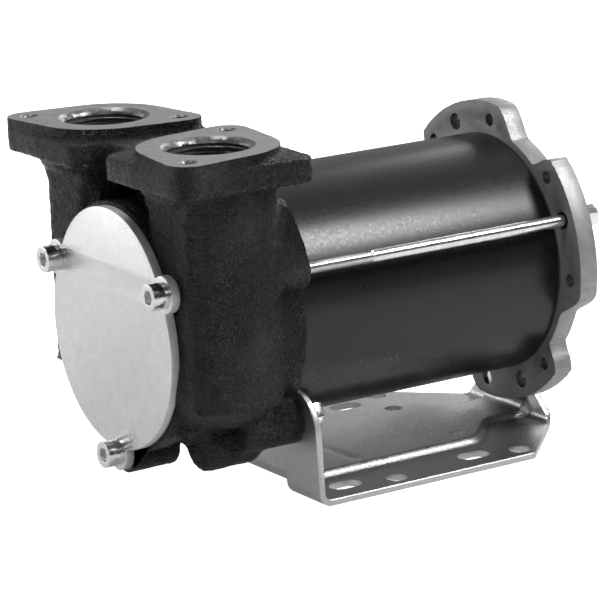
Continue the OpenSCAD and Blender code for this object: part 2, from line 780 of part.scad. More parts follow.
// The inner ring of a ball bearing
module inner_ring(d, inner_d, race_t, y0, w)
    color("#c4c6c8")
    difference() {
        ring_y((d + inner_d) / 4 - race_t / 2, inner_d / 2, y0, y0 + w);
        race((d + inner_d) / 4, race_t / 2 + race_groove, y0 + w / 2);
    }

// The balls of a bearing in their cage
module ball_set(d, inner_d, race_t, y0, w, count)
    color("#dcdcdc")
    union() {
        for (k = [0 : count - 1])
            translate([0, y0 + w / 2, shaft_h])
            rotate([0, 360 / count * k, 0])
            translate([(d + inner_d) / 4, 0, 0])
            sphere(r = race_t / 2 + race_groove, $fn = 16);
        ring_y((d + inner_d) / 4 + race_t / 4, (d + inner_d) / 4 - race_t / 4,
            y0 + w / 2 - race_t / 4, y0 + w / 2 + race_t / 4);
    }

module front_bearing_outer_ring()
    outer_ring(front_bearing_d, shaft_d, front_race_t, front_bearing_y, front_bearing_w);
module front_bearing_balls()
    ball_set(front_bearing_d, shaft_d, front_race_t, front_bearing_y, front_bearing_w, 7);
module front_bearing_inner_ring()
    inner_ring(front_bearing_d, shaft_d, front_race_t, front_bearing_y, front_bearing_w);
module rear_bearing_outer_ring()
    outer_ring(rear_bearing_d, shaft_rear_d, rear_race_t, rear_bearing_y, rear_bearing_w);
module rear_bearing_balls()
    ball_set(rear_bearing_d, shaft_rear_d, rear_race_t, rear_bearing_y, rear_bearing_w, 9);
module rear_bearing_inner_ring()
    inner_ring(rear_bearing_d, shaft_rear_d, rear_race_t, rear_bearing_y, rear_bearing_w);

module wave_washer()
    color("#b0b0b0")
    ring_y(rear_bearing_d / 2 - slide_gap, rear_bearing_d / 2 - race_groove - rear_race_t,
        pocket_y - wave_washer_t, pocket_y);

module motor_shaft()
    color("#a2a5a8")
    difference() {
        union() {
            bar_y(0, 0, shaft_d / 2, body_front_y + shaft_end_gap, tube_floor_y + bite);
            bar_y(0, 0, shaft_mid_d / 2, tube_floor_y, rear_bearing_y);
            bar_y(0, 0, shaft_rear_d / 2, rear_bearing_y - bite, rear_bearing_y + rear_bearing_w);
        }
        translate([-key_w / 2, rotor_y + rotor_l / 2 - key_l / 2, shaft_h - shaft_d / 2 - key_h / 2])
        cube([key_w, key_l, key_h]);
    }

module armature_core()
    color("#6f7074")
    difference() {
        bar_y(0, 0, core_d / 2, core_y, core_y + core_l, $fn = big_fn);
        bar_y(0, 0, shaft_mid_d / 2, core_y - over, core_y + core_l + over);
        for (k = [0 : core_slots - 1])
            translate([0, core_y - over, shaft_h])
            rotate([0, 360 / core_slots * k, 0])
            translate([core_d / 2 - core_slot_depth, 0, -core_slot_w / 2])
            cube([core_slot_depth + over, core_l + 2 * over, core_slot_w]);
    }

module armature_windings()
    color("#a5612f")
    union() {
        ring_y(core_d / 2 - shaft_step, shaft_mid_d / 2, core_y - head_turn_l, core_y);
        ring_y(core_d / 2 - shaft_step, shaft_mid_d / 2, core_y + core_l, head_end_y);
        for (k = [0 : core_slots - 1])
            translate([0, core_y - bite, shaft_h])
            rotate([0, 360 / core_slots * k, 0])
            translate([core_d / 2 - core_slot_depth + loose_gap, 0, loose_gap - core_slot_w / 2])
            cube([core_slot_depth - shaft_step - loose_gap, core_l + 2 * bite,
                core_slot_w - 2 * loose_gap]);
    }

module commutator()
    color("#b5713c")
    ring_y(commutator_d / 2, shaft_mid_d / 2, commutator_y, commutator_y + commutator_l);

module motor_tube()
    color("#1b1c1e")
    ring_y(tube_r, tube_in_r, tube_floor_y + gasket_t, bell_y - gasket_t);

module magnets()
    color("#3c3c3e")
    for (k = [0 : 3])
        along_y(core_y + core_l / 2 - magnet_l / 2, core_y + core_l / 2 + magnet_l / 2)
        difference() {
            intersection() {
                circle(tube_in_r, $fn = big_fn);
                rotate(90 * k)
                polygon([[0, 0], 2 * tube_r * [cos(magnet_sweep / 2), -sin(magnet_sweep / 2)],
                    2 * tube_r * [cos(magnet_sweep / 2), sin(magnet_sweep / 2)]]);
            }
            circle(tube_in_r - magnet_t, $fn = big_fn);
        }

module tube_gaskets()
    color("#30302e") {
        ring_y(tube_r, tube_in_r, tube_floor_y, tube_floor_y + gasket_t);
        ring_y(tube_r, tube_in_r, bell_y - gasket_t, bell_y);
    }

module brush_ring()
    color("#7a4a2c")
    difference() {
        ring_y(brush_ring_outer_r, brush_ring_inner_r, ring_y, spigot_y);
        for (s = [-1, 1])
            bar_y(0, s * brush_screw_r, brush_screw_d / 2 + loose_gap, ring_y - over, spigot_y + over);
    }

module brush_ring_screws()
    color("#c0c0c0")
    for (s = [-1, 1]) {
        bar_y(0, s * brush_screw_r, brush_head_d / 2, ring_y - brush_head_h, ring_y);
        bar_y(0, s * brush_screw_r, brush_screw_d / 2, ring_y - bite, spigot_y + brush_screw_depth);
    }

box_w = brush_w + 2 * slide_gap + 2 * brush_box_t;
box_h = brush_h + 2 * slide_gap + 2 * brush_box_t;
box_x = commutator_d / 2 + brush_box_gap;
brush_x = commutator_d / 2 + brush_gap;
spring_room = box_x + brush_box_l - brush_box_t - brush_x - brush_l;

module brush_boxes()
    color("#b89a52")
    for (s = [0, 180])
        translate([0, brush_y, shaft_h])
        rotate([0, s, 0])
        difference() {
            union() {
                translate([box_x, -box_w / 2, -box_h / 2])
                cube([brush_box_l, box_w, box_h]);
                translate([box_x + brush_box_l - brush_l, box_w / 2 - bite, -box_h / 2])
                cube([brush_l - brush_box_t, ring_y - brush_y - box_w / 2 + bite, box_h]);
            }
            translate([box_x - over, -brush_w / 2 - slide_gap, -brush_h / 2 - slide_gap])
            cube([brush_box_l - brush_box_t + over, brush_w + 2 * slide_gap, brush_h + 2 * slide_gap]);
        }

// A brush, on the side that the turn gives
module brush(turn)
    color("#3a3a3c")
    translate([0, brush_y, shaft_h])
    rotate([0, turn, 0])
    translate([brush_x, -brush_w / 2, -brush_h / 2])
    cube([brush_l, brush_w, brush_h]);

// A brush spring, on the side that the turn gives
module brush_spring(turn)
    color("#c8c8c8")
    translate([0, brush_y, shaft_h])
    rotate([0, turn, 0])
    translate([brush_x + brush_l, 0, 0])
    rotate([0, 90, 0])
    coil(brush_h / 2 - brush_wire_d, brush_wire_d, spring_room, 5);

module brush_right() brush(0);
module brush_left() brush(180);
module brush_spring_right() brush_spring(0);
module brush_spring_left() brush_spring(180);

module end_bell()
    color("#9b9da0")
    difference() {
        union() {
            along_y(bell_y, bell_back_y) {
                circle(d = bell_d, $fn = big_fn);
                for (k = [0 : 3])
                    lobe(lobe_r, rod_turn + 90 * k - lobe_lead, lobe_sweep);
            }
            ring_y(tube_in_r - run_gap, tube_in_r - spigot_t, spigot_y, bell_y + bite);
            bar_y(0, 0, bell_boss_d / 2, spigot_y, bell_y + bite);
            bar_y(0, 0, bell_back_d / 2, bell_back_y - bite, boss_back_y);
            for (s = [-1, 1])
                bar_y(0, s * brush_screw_r, brush_post_d / 2, spigot_y, bell_y + bite);
        }
        bar_y(0, 0, rear_bearing_d / 2, spigot_y - over, pocket_y);
        for (s = [-1, 1])
            bar_y(0, s * brush_screw_r, brush_screw_d / 2, spigot_y - over,
                spigot_y + brush_screw_depth + screw_end_gap);
        bar_y(grommet_r * cos(grommet_turn), grommet_r * sin(grommet_turn), grommet_d / 2,
            bell_y - over, bell_back_y + over);
        for (k = [0 : 3])
            rotate_about_axis(90 * k + rod_turn) {
                bar_y(fixing_r, 0, lobe_hole_d / 2, bell_y - over, bell_back_y + over);
                rotate_about_axis(-lobe_lead)
                bar_y(fixing_r, 0, (k == 3 ? screw_d : thread_hole_d) / 2, bell_y - over,
                    bell_back_y + over);
                rotate_about_axis(lobe_sweep - lobe_lead)
                bar_y(fixing_r, 0, thread_hole_d / 2, bell_y - over, bell_back_y + over);
            }
    }

// Turns its pieces about the shaft axis, anticlockwise as seen from the front
module rotate_about_axis(turn)
    translate([0, 0, shaft_h])
    rotate([0, -turn, 0])
    translate([0, 0, -shaft_h])
    children();

module tie_rods()
    color("#cfd0d2")
    for (k = [0, 2])
        rotate_about_axis(90 * k + rod_turn) {
            bar_y(fixing_r, 0, rod_d / 2, seat_y - rod_depth, bell_back_y + washer_t + bite);
            bar_y(fixing_r, 0, rod_head_w / 2 * hex_corner, bell_back_y + washer_t,
                bell_back_y + washer_t + rod_head_h, $fn = 6);
        }

module tie_rod_washers()
    color("#c4c4c6")
    for (k = [0, 2])
        rotate_about_axis(90 * k + rod_turn)
        difference() {
            bar_y(fixing_r, 0, rod_d, bell_back_y, bell_back_y + washer_t);
            bar_y(fixing_r, 0, rod_d / 2 + loose_gap, bell_back_y - over, bell_back_y + washer_t + over);
        }

module cable_grommet()
    color("#1a1a1a")
    rotate_about_axis(grommet_turn)
    difference() {
        union() {
            bar_y(grommet_r, 0, grommet_d / 2, bell_y - bite, bell_back_y + bite);
            bar_y(grommet_r, 0, grommet_d / 2 + cast_r, bell_y - cast_r, bell_y);
            bar_y(grommet_r, 0, grommet_d / 2 + cast_r, bell_back_y, bell_back_y + cast_r);
        }
        bar_y(grommet_r, 0, grommet_bore_d / 2, bell_y - cast_r - over, bell_back_y + cast_r + over);
    }

// The bent sheet as seen from the side, lifted off the ground plane by a distance
module sheet_outline(lift, r) {
    translate([seat_y + lift, lift + r])
    square([foot_back_y - seat_y - 2 * lift, 2 * upright_h]);
    translate([seat_y + lift + r, lift])
    square([foot_back_y - seat_y - 2 * lift - 2 * r, 2 * upright_h]);
    for (y = [seat_y + lift + r, foot_back_y - lift - r])
        translate([y, lift + r])
        circle(r);
}

// The bent sheet across the whole width of the foot
module bent_sheet(lift)
    translate([-foot_w / 2 - over, 0, 0])
    rotate([90, 0, 90])
    linear_extrude(foot_w + 2 * over)
    difference() {
        sheet_outline(lift, bend_out_r);
        sheet_outline(lift + sheet_t, bend_r);
    }

// The raised platform, drawn in by a distance, with its runs up the two uprights
module platform_zone(draw_in) {
    steps = 8;
    side = [for (i = [0 : steps])
        [platform_w / 2 - draw_in - (platform_w - platform_neck_w) / 4 * (1 - cos(180 * i / steps)),
            platform_shoulder - draw_in + platform_taper * i / steps]];
    low_z = shaft_h - lobe_r - draw_in - run_gap;
    translate([0, 0, -over])
    linear_extrude(bend_out_r + platform_rise + over)
    polygon(concat([[side[0][0], seat_y - over]], side,
        [[side[steps][0], foot_back_y + over], [-side[steps][0], foot_back_y + over]],
        [for (i = [steps : -1 : 0]) [-side[i][0], side[i][1]]],
        [[-side[0][0], seat_y - over]]));
    translate([draw_in - platform_w / 2, seat_y - over, -over])
    cube([platform_w - 2 * draw_in, bend_out_r + platform_rise + over, upright_h + 2 * over]);
    translate([draw_in - platform_neck_w / 2, foot_back_y - bend_out_r - platform_rise, -over])
    cube([platform_neck_w - 2 * draw_in, bend_out_r + platform_rise + over, low_z + over]);
}

// The room that the foot's outline leaves for its sheet
module foot_envelope() {
    tangent = tab_top_r / sqrt(2);
    linear_extrude(bend_out_r + platform_rise)
    polygon([[-foot_w / 2, seat_y], [foot_w / 2, seat_y], [foot_w / 2, tail_y - foot_w / 2 + tab_root],
        [tab_root - bend_out_r, foot_back_y], [bend_out_r - tab_root, foot_back_y],
        [-foot_w / 2, tail_y - foot_w / 2 + tab_root]]);
    // The front upright, with its upper corners rounded and the room for the motor tube
    translate([0, seat_y + bend_out_r + platform_rise, 0])
    rotate([90, 0, 0])
    linear_extrude(bend_out_r + platform_rise)
    difference() {
        union() {
            polygon([[-foot_w / 2, 0], [foot_w / 2, 0],
                [upright_top_w / 2, upright_h - upright_corner_r],
                [upright_top_w / 2 - upright_corner_r, upright_h],
                [upright_corner_r - upright_top_w / 2, upright_h],
                [-upright_top_w / 2, upright_h - upright_corner_r]]);
            for (s = [-1, 1])
                translate([s * (upright_top_w / 2 - upright_corner_r), upright_h - upright_corner_r])
                circle(upright_corner_r);
        }
        translate([0, shaft_h])
        circle(tube_r + 2 * loose_gap, $fn = big_fn);
    }
    // The rear tab
    translate([0, foot_back_y, 0])
    rotate([90, 0, 0])
    linear_extrude(bend_out_r + platform_rise) {
        polygon([[-tab_root, 0], [tab_root, 0], [tangent, tab_axis_z + tangent],
            [-tangent, tab_axis_z + tangent]]);
        translate([0, tab_axis_z])
        circle(tab_top_r);
    }
}

// A vertical hole through the foot
module foot_hole(x, y, d)
    translate([x, y, -over])
    cylinder(h = bend_out_r + platform_rise + over, d = d);

module foot_bracket()
    color("#b9bcbf")
    difference() {
        intersection() {
            foot_envelope();
            union() {
                difference() {
                    bent_sheet(0);
                    platform_zone(sheet_t);
                }
                intersection() {
                    bent_sheet(platform_rise);
                    platform_zone(0);
                }
            }
        }
        for (s = [-1, 1]) {
            for (e = [-1, 1]) {
                slot_y = e * slot_pitch_y / 2 - hole_shift;
                for (end = [-1, 1])
                    foot_hole(s * slot_pitch_x / 2, slot_y + end * (slot_l - slot_w) / 2, slot_w);
                translate([s * slot_pitch_x / 2 - slot_w / 2, slot_y - (slot_l - slot_w) / 2, -over])
                cube([slot_w, slot_l - slot_w, sheet_t + 2 * over]);
                foot_hole(s * hole_pitch_x / 2, e * hole_pitch_y / 2, hole_d);
            }
            foot_hole(s * platform_hole_pitch / 2, platform_shoulder, platform_hole_d);
            bar_y(s * stud_x, stud_z, screw_d / 2 + loose_gap, seat_y - over, seat_y + sheet_t + over);
            bar_y(s * tab_slot_play, tab_axis_z - shaft_h, screw_d / 2 + loose_gap,
                bell_back_y - over, foot_back_y + over);
        }
        translate([-tab_slot_play, bell_back_y - over, tab_axis_z - screw_d / 2 - loose_gap])
        cube([2 * tab_slot_play, sheet_t + 2 * over, screw_d + 2 * loose_gap]);
    }

module foot_studs()
    color("#c9c9c9")
    for (s = [-1, 1])
        bar_y(s * stud_x, stud_z, screw_d / 2, seat_y - stud_depth + screw_end_gap,
            seat_y + rear_stack + nut_h + stud_out);

module foot_nuts()
    color("#cdcdcd")
    for (s = [-1, 1])
        difference() {
            bar_y(s * stud_x, stud_z, nut_w / 2 * hex_corner, seat_y + rear_stack,
                seat_y + rear_stack + nut_h, $fn = 6);
            bar_y(s * stud_x, stud_z, screw_d / 2, seat_y, seat_y + rear_stack + nut_h + over);
        }

rear_screw_turn = rod_turn + 270 - lobe_lead;

module foot_rear_screw()
    color("#c9c9c9")
    rotate_about_axis(rear_screw_turn)
    difference() {
        union() {
            bar_y(fixing_r, 0, screw_d / 2, bell_y + shaft_end_gap, bell_back_y + rear_stack + bite);
            bar_y(fixing_r, 0, head_d / 2, bell_back_y + rear_stack, bell_back_y + rear_stack + head_h);
        }
        bar_y(fixing_r, 0, socket_w / 2 * hex_corner, bell_back_y + rear_stack + head_h - socket_depth,
            bell_back_y + rear_stack + head_h + over, $fn = 6);
    }

// A flat washer or spring washer around a screw of the foot
module foot_ring(x, z, d, y0, y1)
    difference() {
        bar_y(x, z, d / 2, y0, y1);
        bar_y(x, z, screw_d / 2 + loose_gap, y0 - over, y1 + over);
    }

module foot_washers()
    color("#c4c4c6") {
        for (s = [-1, 1])
            foot_ring(s * stud_x, stud_z, washer_d, seat_y + sheet_t, seat_y + sheet_t + washer_t);
        foot_ring(fixing_r * cos(rear_screw_turn), fixing_r * sin(rear_screw_turn), washer_d,
            foot_back_y, foot_back_y + washer_t);
    }

module foot_spring_washers()
    color("#b4b4b8") {
        for (s = [-1, 1])
            foot_ring(s * stud_x, stud_z, spring_washer_d, seat_y + sheet_t + washer_t,
                seat_y + rear_stack);
        foot_ring(fixing_r * cos(rear_screw_turn), fixing_r * sin(rear_screw_turn), spring_washer_d,
            foot_back_y + washer_t, bell_back_y + rear_stack);
    }

pump_body();
front_cover();
cover_screws();
cover_seal_ring();
rotor();
vane_1();
vane_2();
vane_3();
vane_4();
vane_5();
rotor_key();
shaft_seal();
bypass_poppet();
bypass_spring();
bypass_screw();
bypass_plug();
front_bearing_outer_ring();
front_bearing_balls();
front_bearing_inner_ring();
motor_shaft();
armature_core();
armature_windings();
commutator();
motor_tube();
magnets();
tube_gaskets();
brush_ring();
brush_ring_screws();
brush_boxes();
brush_right();
brush_left();
brush_spring_right();
brush_spring_left();
rear_bearing_outer_ring();
rear_bearing_balls();
rear_bearing_inner_ring();
wave_washer();
end_bell();
tie_rods();
tie_rod_washers();
cable_grommet();
foot_bracket();
foot_studs();
foot_nuts();
foot_rear_screw();
foot_washers();
foot_spring_washers();
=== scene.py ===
import json, math
import bpy, bmesh
from mathutils import Matrix, Vector, noise

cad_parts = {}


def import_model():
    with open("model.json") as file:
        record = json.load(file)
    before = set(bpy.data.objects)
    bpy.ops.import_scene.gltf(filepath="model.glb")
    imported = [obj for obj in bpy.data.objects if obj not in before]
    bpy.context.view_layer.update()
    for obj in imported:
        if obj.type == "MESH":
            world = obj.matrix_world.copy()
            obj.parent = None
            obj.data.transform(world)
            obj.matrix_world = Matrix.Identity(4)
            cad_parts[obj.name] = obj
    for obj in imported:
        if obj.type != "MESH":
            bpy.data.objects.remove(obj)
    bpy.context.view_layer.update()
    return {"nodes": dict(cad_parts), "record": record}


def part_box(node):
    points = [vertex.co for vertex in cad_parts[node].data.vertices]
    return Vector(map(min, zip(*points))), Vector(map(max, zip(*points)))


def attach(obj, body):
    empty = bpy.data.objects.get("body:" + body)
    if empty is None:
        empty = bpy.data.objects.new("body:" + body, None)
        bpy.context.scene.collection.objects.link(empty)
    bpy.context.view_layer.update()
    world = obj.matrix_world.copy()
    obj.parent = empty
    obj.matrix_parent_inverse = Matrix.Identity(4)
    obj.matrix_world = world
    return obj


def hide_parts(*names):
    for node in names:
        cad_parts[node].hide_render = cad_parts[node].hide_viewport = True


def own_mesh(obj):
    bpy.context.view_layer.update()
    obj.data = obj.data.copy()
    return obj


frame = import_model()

BODY = "housing"

# Lengths are in millimetres, in the part's frame: y runs from the cover to the end bell, z is up
MM, PER_M = 0.001, 1000
H = 69.0                                        # shaft axis over the foot's underside
DROP = 5                                        # chamber and cover axis below the shaft axis
COVER, FRONT, PORT_Y = -120.7, -117.2, -98.1    # the cover's face, the casting's front, the port axes
CHAMBER_BACK, SEAT = -91.2, -67.6               # the chamber's floor, the face that takes the motor
BELL, BELL_BACK, FOOT_BACK = 51.4, 59.4, 61.9   # the end bell's two faces, the rear of the foot
TOP, UNDER = 137.75, 124.95                     # the machined port faces, the underside of the flanges
PORT_X = 37.5
FLANGE_HOLE = 58.5 / 2 / math.sqrt(2)           # a flange hole from its port axis, in x and in y
FIX_R, ROD = 52.8, 22.5                         # the end bell's fixing circle, a tie rod's angle on it
TUBE_R = 47.0
BOX_X, BOX_FRONT = 66.7, -127.3                 # the CAD box, which no rough skin may pass


# ---------------------------------------------------------------- camera
CAMERA_AZ, CAMERA_EL, CAMERA_ROLL = 57.531, 14.12, -2.132
CAMERA_AIM, CAMERA_DISTANCE = (-42.31, -10.7, 50.8), 1305.81
FOCUS_PX, PHOTO_PX, SENSOR = 3283.785, 600, 36
CLIP_M = (0.05, 20)


def camera():
    """The photo's viewpoint, fitted to the ports, screws, foot holes and the end bell."""
    az, el, roll = (math.radians(v) for v in (CAMERA_AZ, CAMERA_EL, CAMERA_ROLL))
    back = Vector((math.sin(az) * math.cos(el), -math.cos(az) * math.cos(el), math.sin(el)))
    right = Vector((math.cos(az), math.sin(az), 0))
    up = back.cross(right)
    c, s = math.cos(roll), math.sin(roll)
    right, up = c * right + s * up, c * up - s * right
    place = Vector(CAMERA_AIM) * MM + back * CAMERA_DISTANCE * MM
    cam = bpy.data.objects.new("camera", bpy.data.cameras.new("camera"))
    bpy.context.scene.collection.objects.link(cam)
    cam.data.sensor_fit = "HORIZONTAL"
    cam.data.sensor_width = SENSOR
    cam.data.lens = FOCUS_PX / PHOTO_PX * SENSOR
    cam.data.clip_start, cam.data.clip_end = CLIP_M
    cam.matrix_world = Matrix((
        (right.x, up.x, back.x, place.x), (right.y, up.y, back.y, place.y),
        (right.z, up.z, back.z, place.z), (0, 0, 0, 1)))
    bpy.context.scene.camera = cam
    bpy.context.scene.view_settings.view_transform = "Standard"


camera()


# ---------------------------------------------------------------- materials
LOW, HIGH = 0.3, 0.7     # noise values that stand for the two ends of a surface's range
SOCKETS = {"color": "Base Color", "rough": "Roughness", "metal": "Metallic",
           "spec": "Specular IOR Level", "normal": "Normal"}


class Nodes:
    """A short way to build a node material on object coordinates."""
    def __init__(self, name):
        self.mat = bpy.data.materials.new(name)
        self.mat.use_nodes = True
        self.tree = self.mat.node_tree
        self.bsdf = next(n for n in self.tree.nodes if n.type == "BSDF_PRINCIPLED")
        self.coord = self.add("ShaderNodeTexCoord")

    def add(self, kind, **props):
        n = self.tree.nodes.new(kind)
        for k, v in props.items():
            setattr(n, k, v)
        return n

    def link(self, a, b):
        self.tree.links.new(a, b)

    def noise(self, scale, detail, rough, stretch=None):
        src = self.coord.outputs["Object"]
        if stretch:
            m = self.add("ShaderNodeMapping")
            m.inputs["Scale"].default_value = stretch
            self.link(src, m.inputs["Vector"])
            src = m.outputs["Vector"]
        n = self.add("ShaderNodeTexNoise")
        n.inputs["Scale"].default_value = scale
        n.inputs["Detail"].default_value = detail
        n.inputs["Roughness"].default_value = rough
        self.link(src, n.inputs["Vector"])
        return n.outputs["Fac"]

    def cells(self, scale):
        n = self.add("ShaderNodeTexVoronoi", feature="F1")
        n.inputs["Scale"].default_value = scale
        self.link(self.coord.outputs["Object"], n.inputs["Vector"])
        return n.outputs["Distance"]

    def ramp(self, value, low, high, ends=(LOW, HIGH)):
        r = self.add("ShaderNodeValToRGB")
        for e, pos, col in zip(r.color_ramp.elements, ends, (low, high)):
            e.position = pos
            e.color = (col, col, col, 1) if isinstance(col, (int, float)) else (*col, 1)
        self.link(value, r.inputs["Fac"])
        return r.outputs["Color"]

    def math(self, op, a, b):
        n = self.add("ShaderNodeMath", operation=op)
        for k, v in enumerate((a, b)):
            if isinstance(v, (int, float)):
                n.inputs[k].default_value = v
            else:
                self.link(v, n.inputs[k])
        return n.outputs[0]

    def bump(self, height, distance, strength):
        b = self.add("ShaderNodeBump")
        b.inputs["Distance"].default_value = distance
        b.inputs["Strength"].default_value = strength
        self.link(height, b.inputs["Height"])
        return b.outputs["Normal"]

    def set(self, **values):
        for k, v in values.items():
            s = self.bsdf.inputs[SOCKETS[k]]
            if isinstance(v, (int, float)):
                s.default_value = v
            else:
                self.link(v, s)
        return self.mat


def grey(v, blue=0.0):
    """A grey with a little more blue."""
    return v, v, v + blue


def mottled(name, tone, low, high, grain, rough, bump, strength=0.5, stretch=None, relief=None,
            **shader):
    """A surface of two noises, each (scale, detail, roughness).

    tone mottles the colour from low to high. grain, which stretch draws out, moves the roughness
    within its range and raises bump metres of relief, unless relief is a noise of its own.
    """
    n = Nodes(name)
    fine = n.noise(*grain, stretch=stretch)
    height = n.noise(*relief) if relief else fine
    return n.set(color=n.ramp(n.noise(*tone), low, high), rough=n.ramp(fine, *rough),
                 normal=n.bump(height, bump, strength), **shader)


def plated(name, low, high, rough, scale, stretch=None):
    """Zinc plate or bright steel."""
    return mottled(name, tone=(scale / 4, 4, 0.6), low=grey(low), high=(high, high, high * 1.01),
                   grain=(scale, 3, 0.6), stretch=stretch, rough=rough, bump=0.00002, metal=1.0)


def plain(name, low, high, rough, metal=0.0, scale=400):
    """A surface whose roughness varies a little around one value."""
    return mottled(name, tone=(scale / 3, 3, 0.6), low=low, high=high, grain=(scale, 3, 0.6),
                   rough=(rough * 0.85, min(1, rough * 1.15)), bump=0.00003, metal=metal)


def cast_paint():
    """Black paint over a sand casting, rougher in patches, with faint upright layers."""
    lump_share, layer_share, relief = 0.9, 0.35, 0.0024
    n = Nodes("cast_black_paint")
    grit = n.noise(1300, 2, 0.6)
    lumps = n.noise(380, 3, 0.6)
    layers = n.noise(160, 3, 0.6, stretch=(1, 1, 7))
    amount = n.ramp(n.noise(30, 3, 0.55), 0.30, 1.0, ends=(0.40, 0.60))
    height = n.math("MULTIPLY", n.math("ADD", grit, n.math("MULTIPLY", lumps, lump_share)), amount)
    height = n.math("ADD", height, n.math("MULTIPLY", layers, layer_share))
    color = n.ramp(n.noise(300, 4, 0.7), (0.002, 0.002, 0.0022), (0.006, 0.006, 0.0064))
    rough = n.ramp(n.noise(700, 3, 0.6), 0.18, 0.38)
    return n.set(color=color, rough=rough, spec=0.36, normal=n.bump(height, relief, 1.0))


def galvanised():
    """Zinc spangle with fine flecks and faint rolling streaks."""
    spangle_share, streak_share, relief = 30.0, 0.6, 0.00018
    n = Nodes("galvanised_sheet")
    spangle = n.cells(140)
    flecks = n.noise(900, 4, 0.7)
    streak = n.noise(220, 3, 0.6, stretch=(1, 0.25, 1))
    tone = n.math("ADD", n.math("MULTIPLY", spangle, spangle_share),
                  n.math("MULTIPLY", streak, streak_share))
    color = n.ramp(tone, (0.36, 0.36, 0.37), (0.58, 0.58, 0.59), ends=(0.2, 0.8))
    rough = n.ramp(flecks, 0.26, 0.50, ends=(0.35, 0.65))
    return n.set(color=color, rough=rough, metal=1.0, normal=n.bump(flecks, relief, 0.8))


M = {
    "cast": cast_paint(),
    "machined": mottled("machined_iron", tone=(160, 3, 0.6), low=grey(0.33), high=grey(0.43),
                        grain=(900, 2, 0.5), stretch=(1, 8, 1), rough=(0.34, 0.5), bump=0.00003,
                        strength=0.6, metal=0.85),
    # Bare threaded iron in the ports; on the end bell's hole walls its darker colour is painted shade
    "bore": mottled("threaded_iron_and_hole_shade", tone=(400, 3, 0.6), low=grey(0.16), high=grey(0.27),
                    grain=(800, 2, 0.5), rough=(0.3, 0.45), relief=(1200, 2, 0.5), bump=0.00004,
                    metal=0.9),
    "cover": plated("cover_zinc_steel", 0.63, 0.69, (0.24, 0.38), 700, (1, 1, 3)),
    "cover_edge": plain("cover_edge_zinc", grey(0.58, 0.005), grey(0.70, 0.005), 0.5, 0.25, 500),
    "zinc": plated("bright_zinc", 0.62, 0.80, (0.14, 0.30), 600),
    "rod": plated("rod_zinc", 0.60, 0.78, (0.16, 0.30), 800, (1, 0.1, 1)),
    "tube": mottled("tube_black_paint", tone=(60, 3, 0.5), low=grey(0.005, 0.0005),
                    high=grey(0.008, 0.0005), grain=(900, 2, 0.5), rough=(0.27, 0.36),
                    bump=0.00004, spec=0.42),
    "galv": galvanised(),
    "alu": mottled("cast_aluminium", tone=(120, 4, 0.6), low=grey(0.27, 0.004),
                   high=grey(0.36, 0.004), grain=(1100, 3, 0.6), rough=(0.42, 0.62),
                   bump=0.00007, strength=0.6, metal=0.75),
    # Painted shade: a darker, less metallic copy of the aluminium for the end bell's face towards the
    # motor, which lies in shade
    "alu_painted_shade": mottled("cast_aluminium_painted_shade", tone=(140, 4, 0.6), low=grey(0.20, 0.002),
                        high=grey(0.27, 0.002), grain=(1000, 3, 0.6), rough=(0.45, 0.65),
                        bump=0.00008, strength=0.6, metal=0.35),
    "steel": plated("ground_steel", 0.42, 0.55, (0.22, 0.36), 900, (1, 6, 1)),
    "spring": plated("spring_steel", 0.35, 0.5, (0.25, 0.4), 600),
    "brass": plain("turned_brass", (0.55, 0.40, 0.16), (0.70, 0.52, 0.22), 0.3, 1.0, 500),
    "copper": plain("enamelled_copper", (0.38, 0.14, 0.06), (0.56, 0.24, 0.10), 0.35, 0.8, 700),
    "core": plain("core_sheet", grey(0.16, 0.01), grey(0.24, 0.01), 0.45, 0.9, 900),
    "rubber": plain("black_rubber", grey(0.012), grey(0.026), 0.62),
    "fibre": plain("gasket_fibre", (0.05, 0.05, 0.045), (0.10, 0.10, 0.09), 0.8),
    "ferrite": plain("ferrite", grey(0.04, 0.005), grey(0.08, 0.005), 0.55),
    "carbon": plain("carbon", grey(0.02, 0.002), grey(0.05, 0.002), 0.5),
    "laminate": plain("brown_laminate", (0.20, 0.10, 0.045), (0.30, 0.16, 0.08), 0.5),
    "vane": plain("vane_plastic", (0.10, 0.08, 0.06), (0.17, 0.13, 0.10), 0.5),
}
BY_SLOT = {
    "black_iron": "cast", "cover_steel": "cover", "zinc_steel": "zinc", "tube_paint": "tube",
    "cast_aluminium": "alu", "galvanised": "galv", "rubber_black": "rubber",
    "ground_steel": "steel", "vane_plastic": "vane", "brass_turned": "brass",
    "core_steel": "core", "copper_wire": "copper", "ferrite": "ferrite", "carbon": "carbon",
    "ring_plastic": "laminate", "spring_steel": "spring", "gasket_fibre": "fibre",
}
SLOT_OF = {p["node"]: p["material_slot"] for p in frame["record"]["subparts"]}
for name, obj in frame["nodes"].items():
    for s in obj.material_slots:
        s.link = "OBJECT"
        s.material = M[BY_SLOT[SLOT_OF[name]]]


# ---------------------------------------------------------------- mesh helpers, in millimetres
WELD_M = 2e-6            # points of a CAD node that are nearer than this are one
CLEAR = 9                # how far a cutter reaches past what it cuts
ON_FACE = 0.99           # least share of a normal for a face to count as square to an axis


def new_object(name, mesh, mats=()):
    obj = bpy.data.objects.new(name, mesh)
    bpy.context.scene.collection.objects.link(obj)
    for m in mats:
        mesh.materials.append(m)
    return obj


def mesh_of(points, faces, name):
    me = bpy.data.meshes.new(name)
    me.from_pydata([tuple(p) for p in points], [], [tuple(f) for f in faces])
    me.validate()
    return me


def to_object(bm):
    me = bpy.data.meshes.new("work")
    bm.to_mesh(me)
    bm.free()
    return new_object("work", me)


def taken(o):
    """The bmesh of a working object, which is removed."""
    bm = bmesh.new()
    bm.from_mesh(o.data)
    bpy.data.objects.remove(o)
    return bm


def scratch(points, faces):
    """A working object in millimetres, outside the final scene."""
    bm = bmesh.new()
    bm.from_mesh(mesh_of(points, faces, "work"))
    bmesh.ops.recalc_face_normals(bm, faces=bm.faces)
    return to_object(bm)


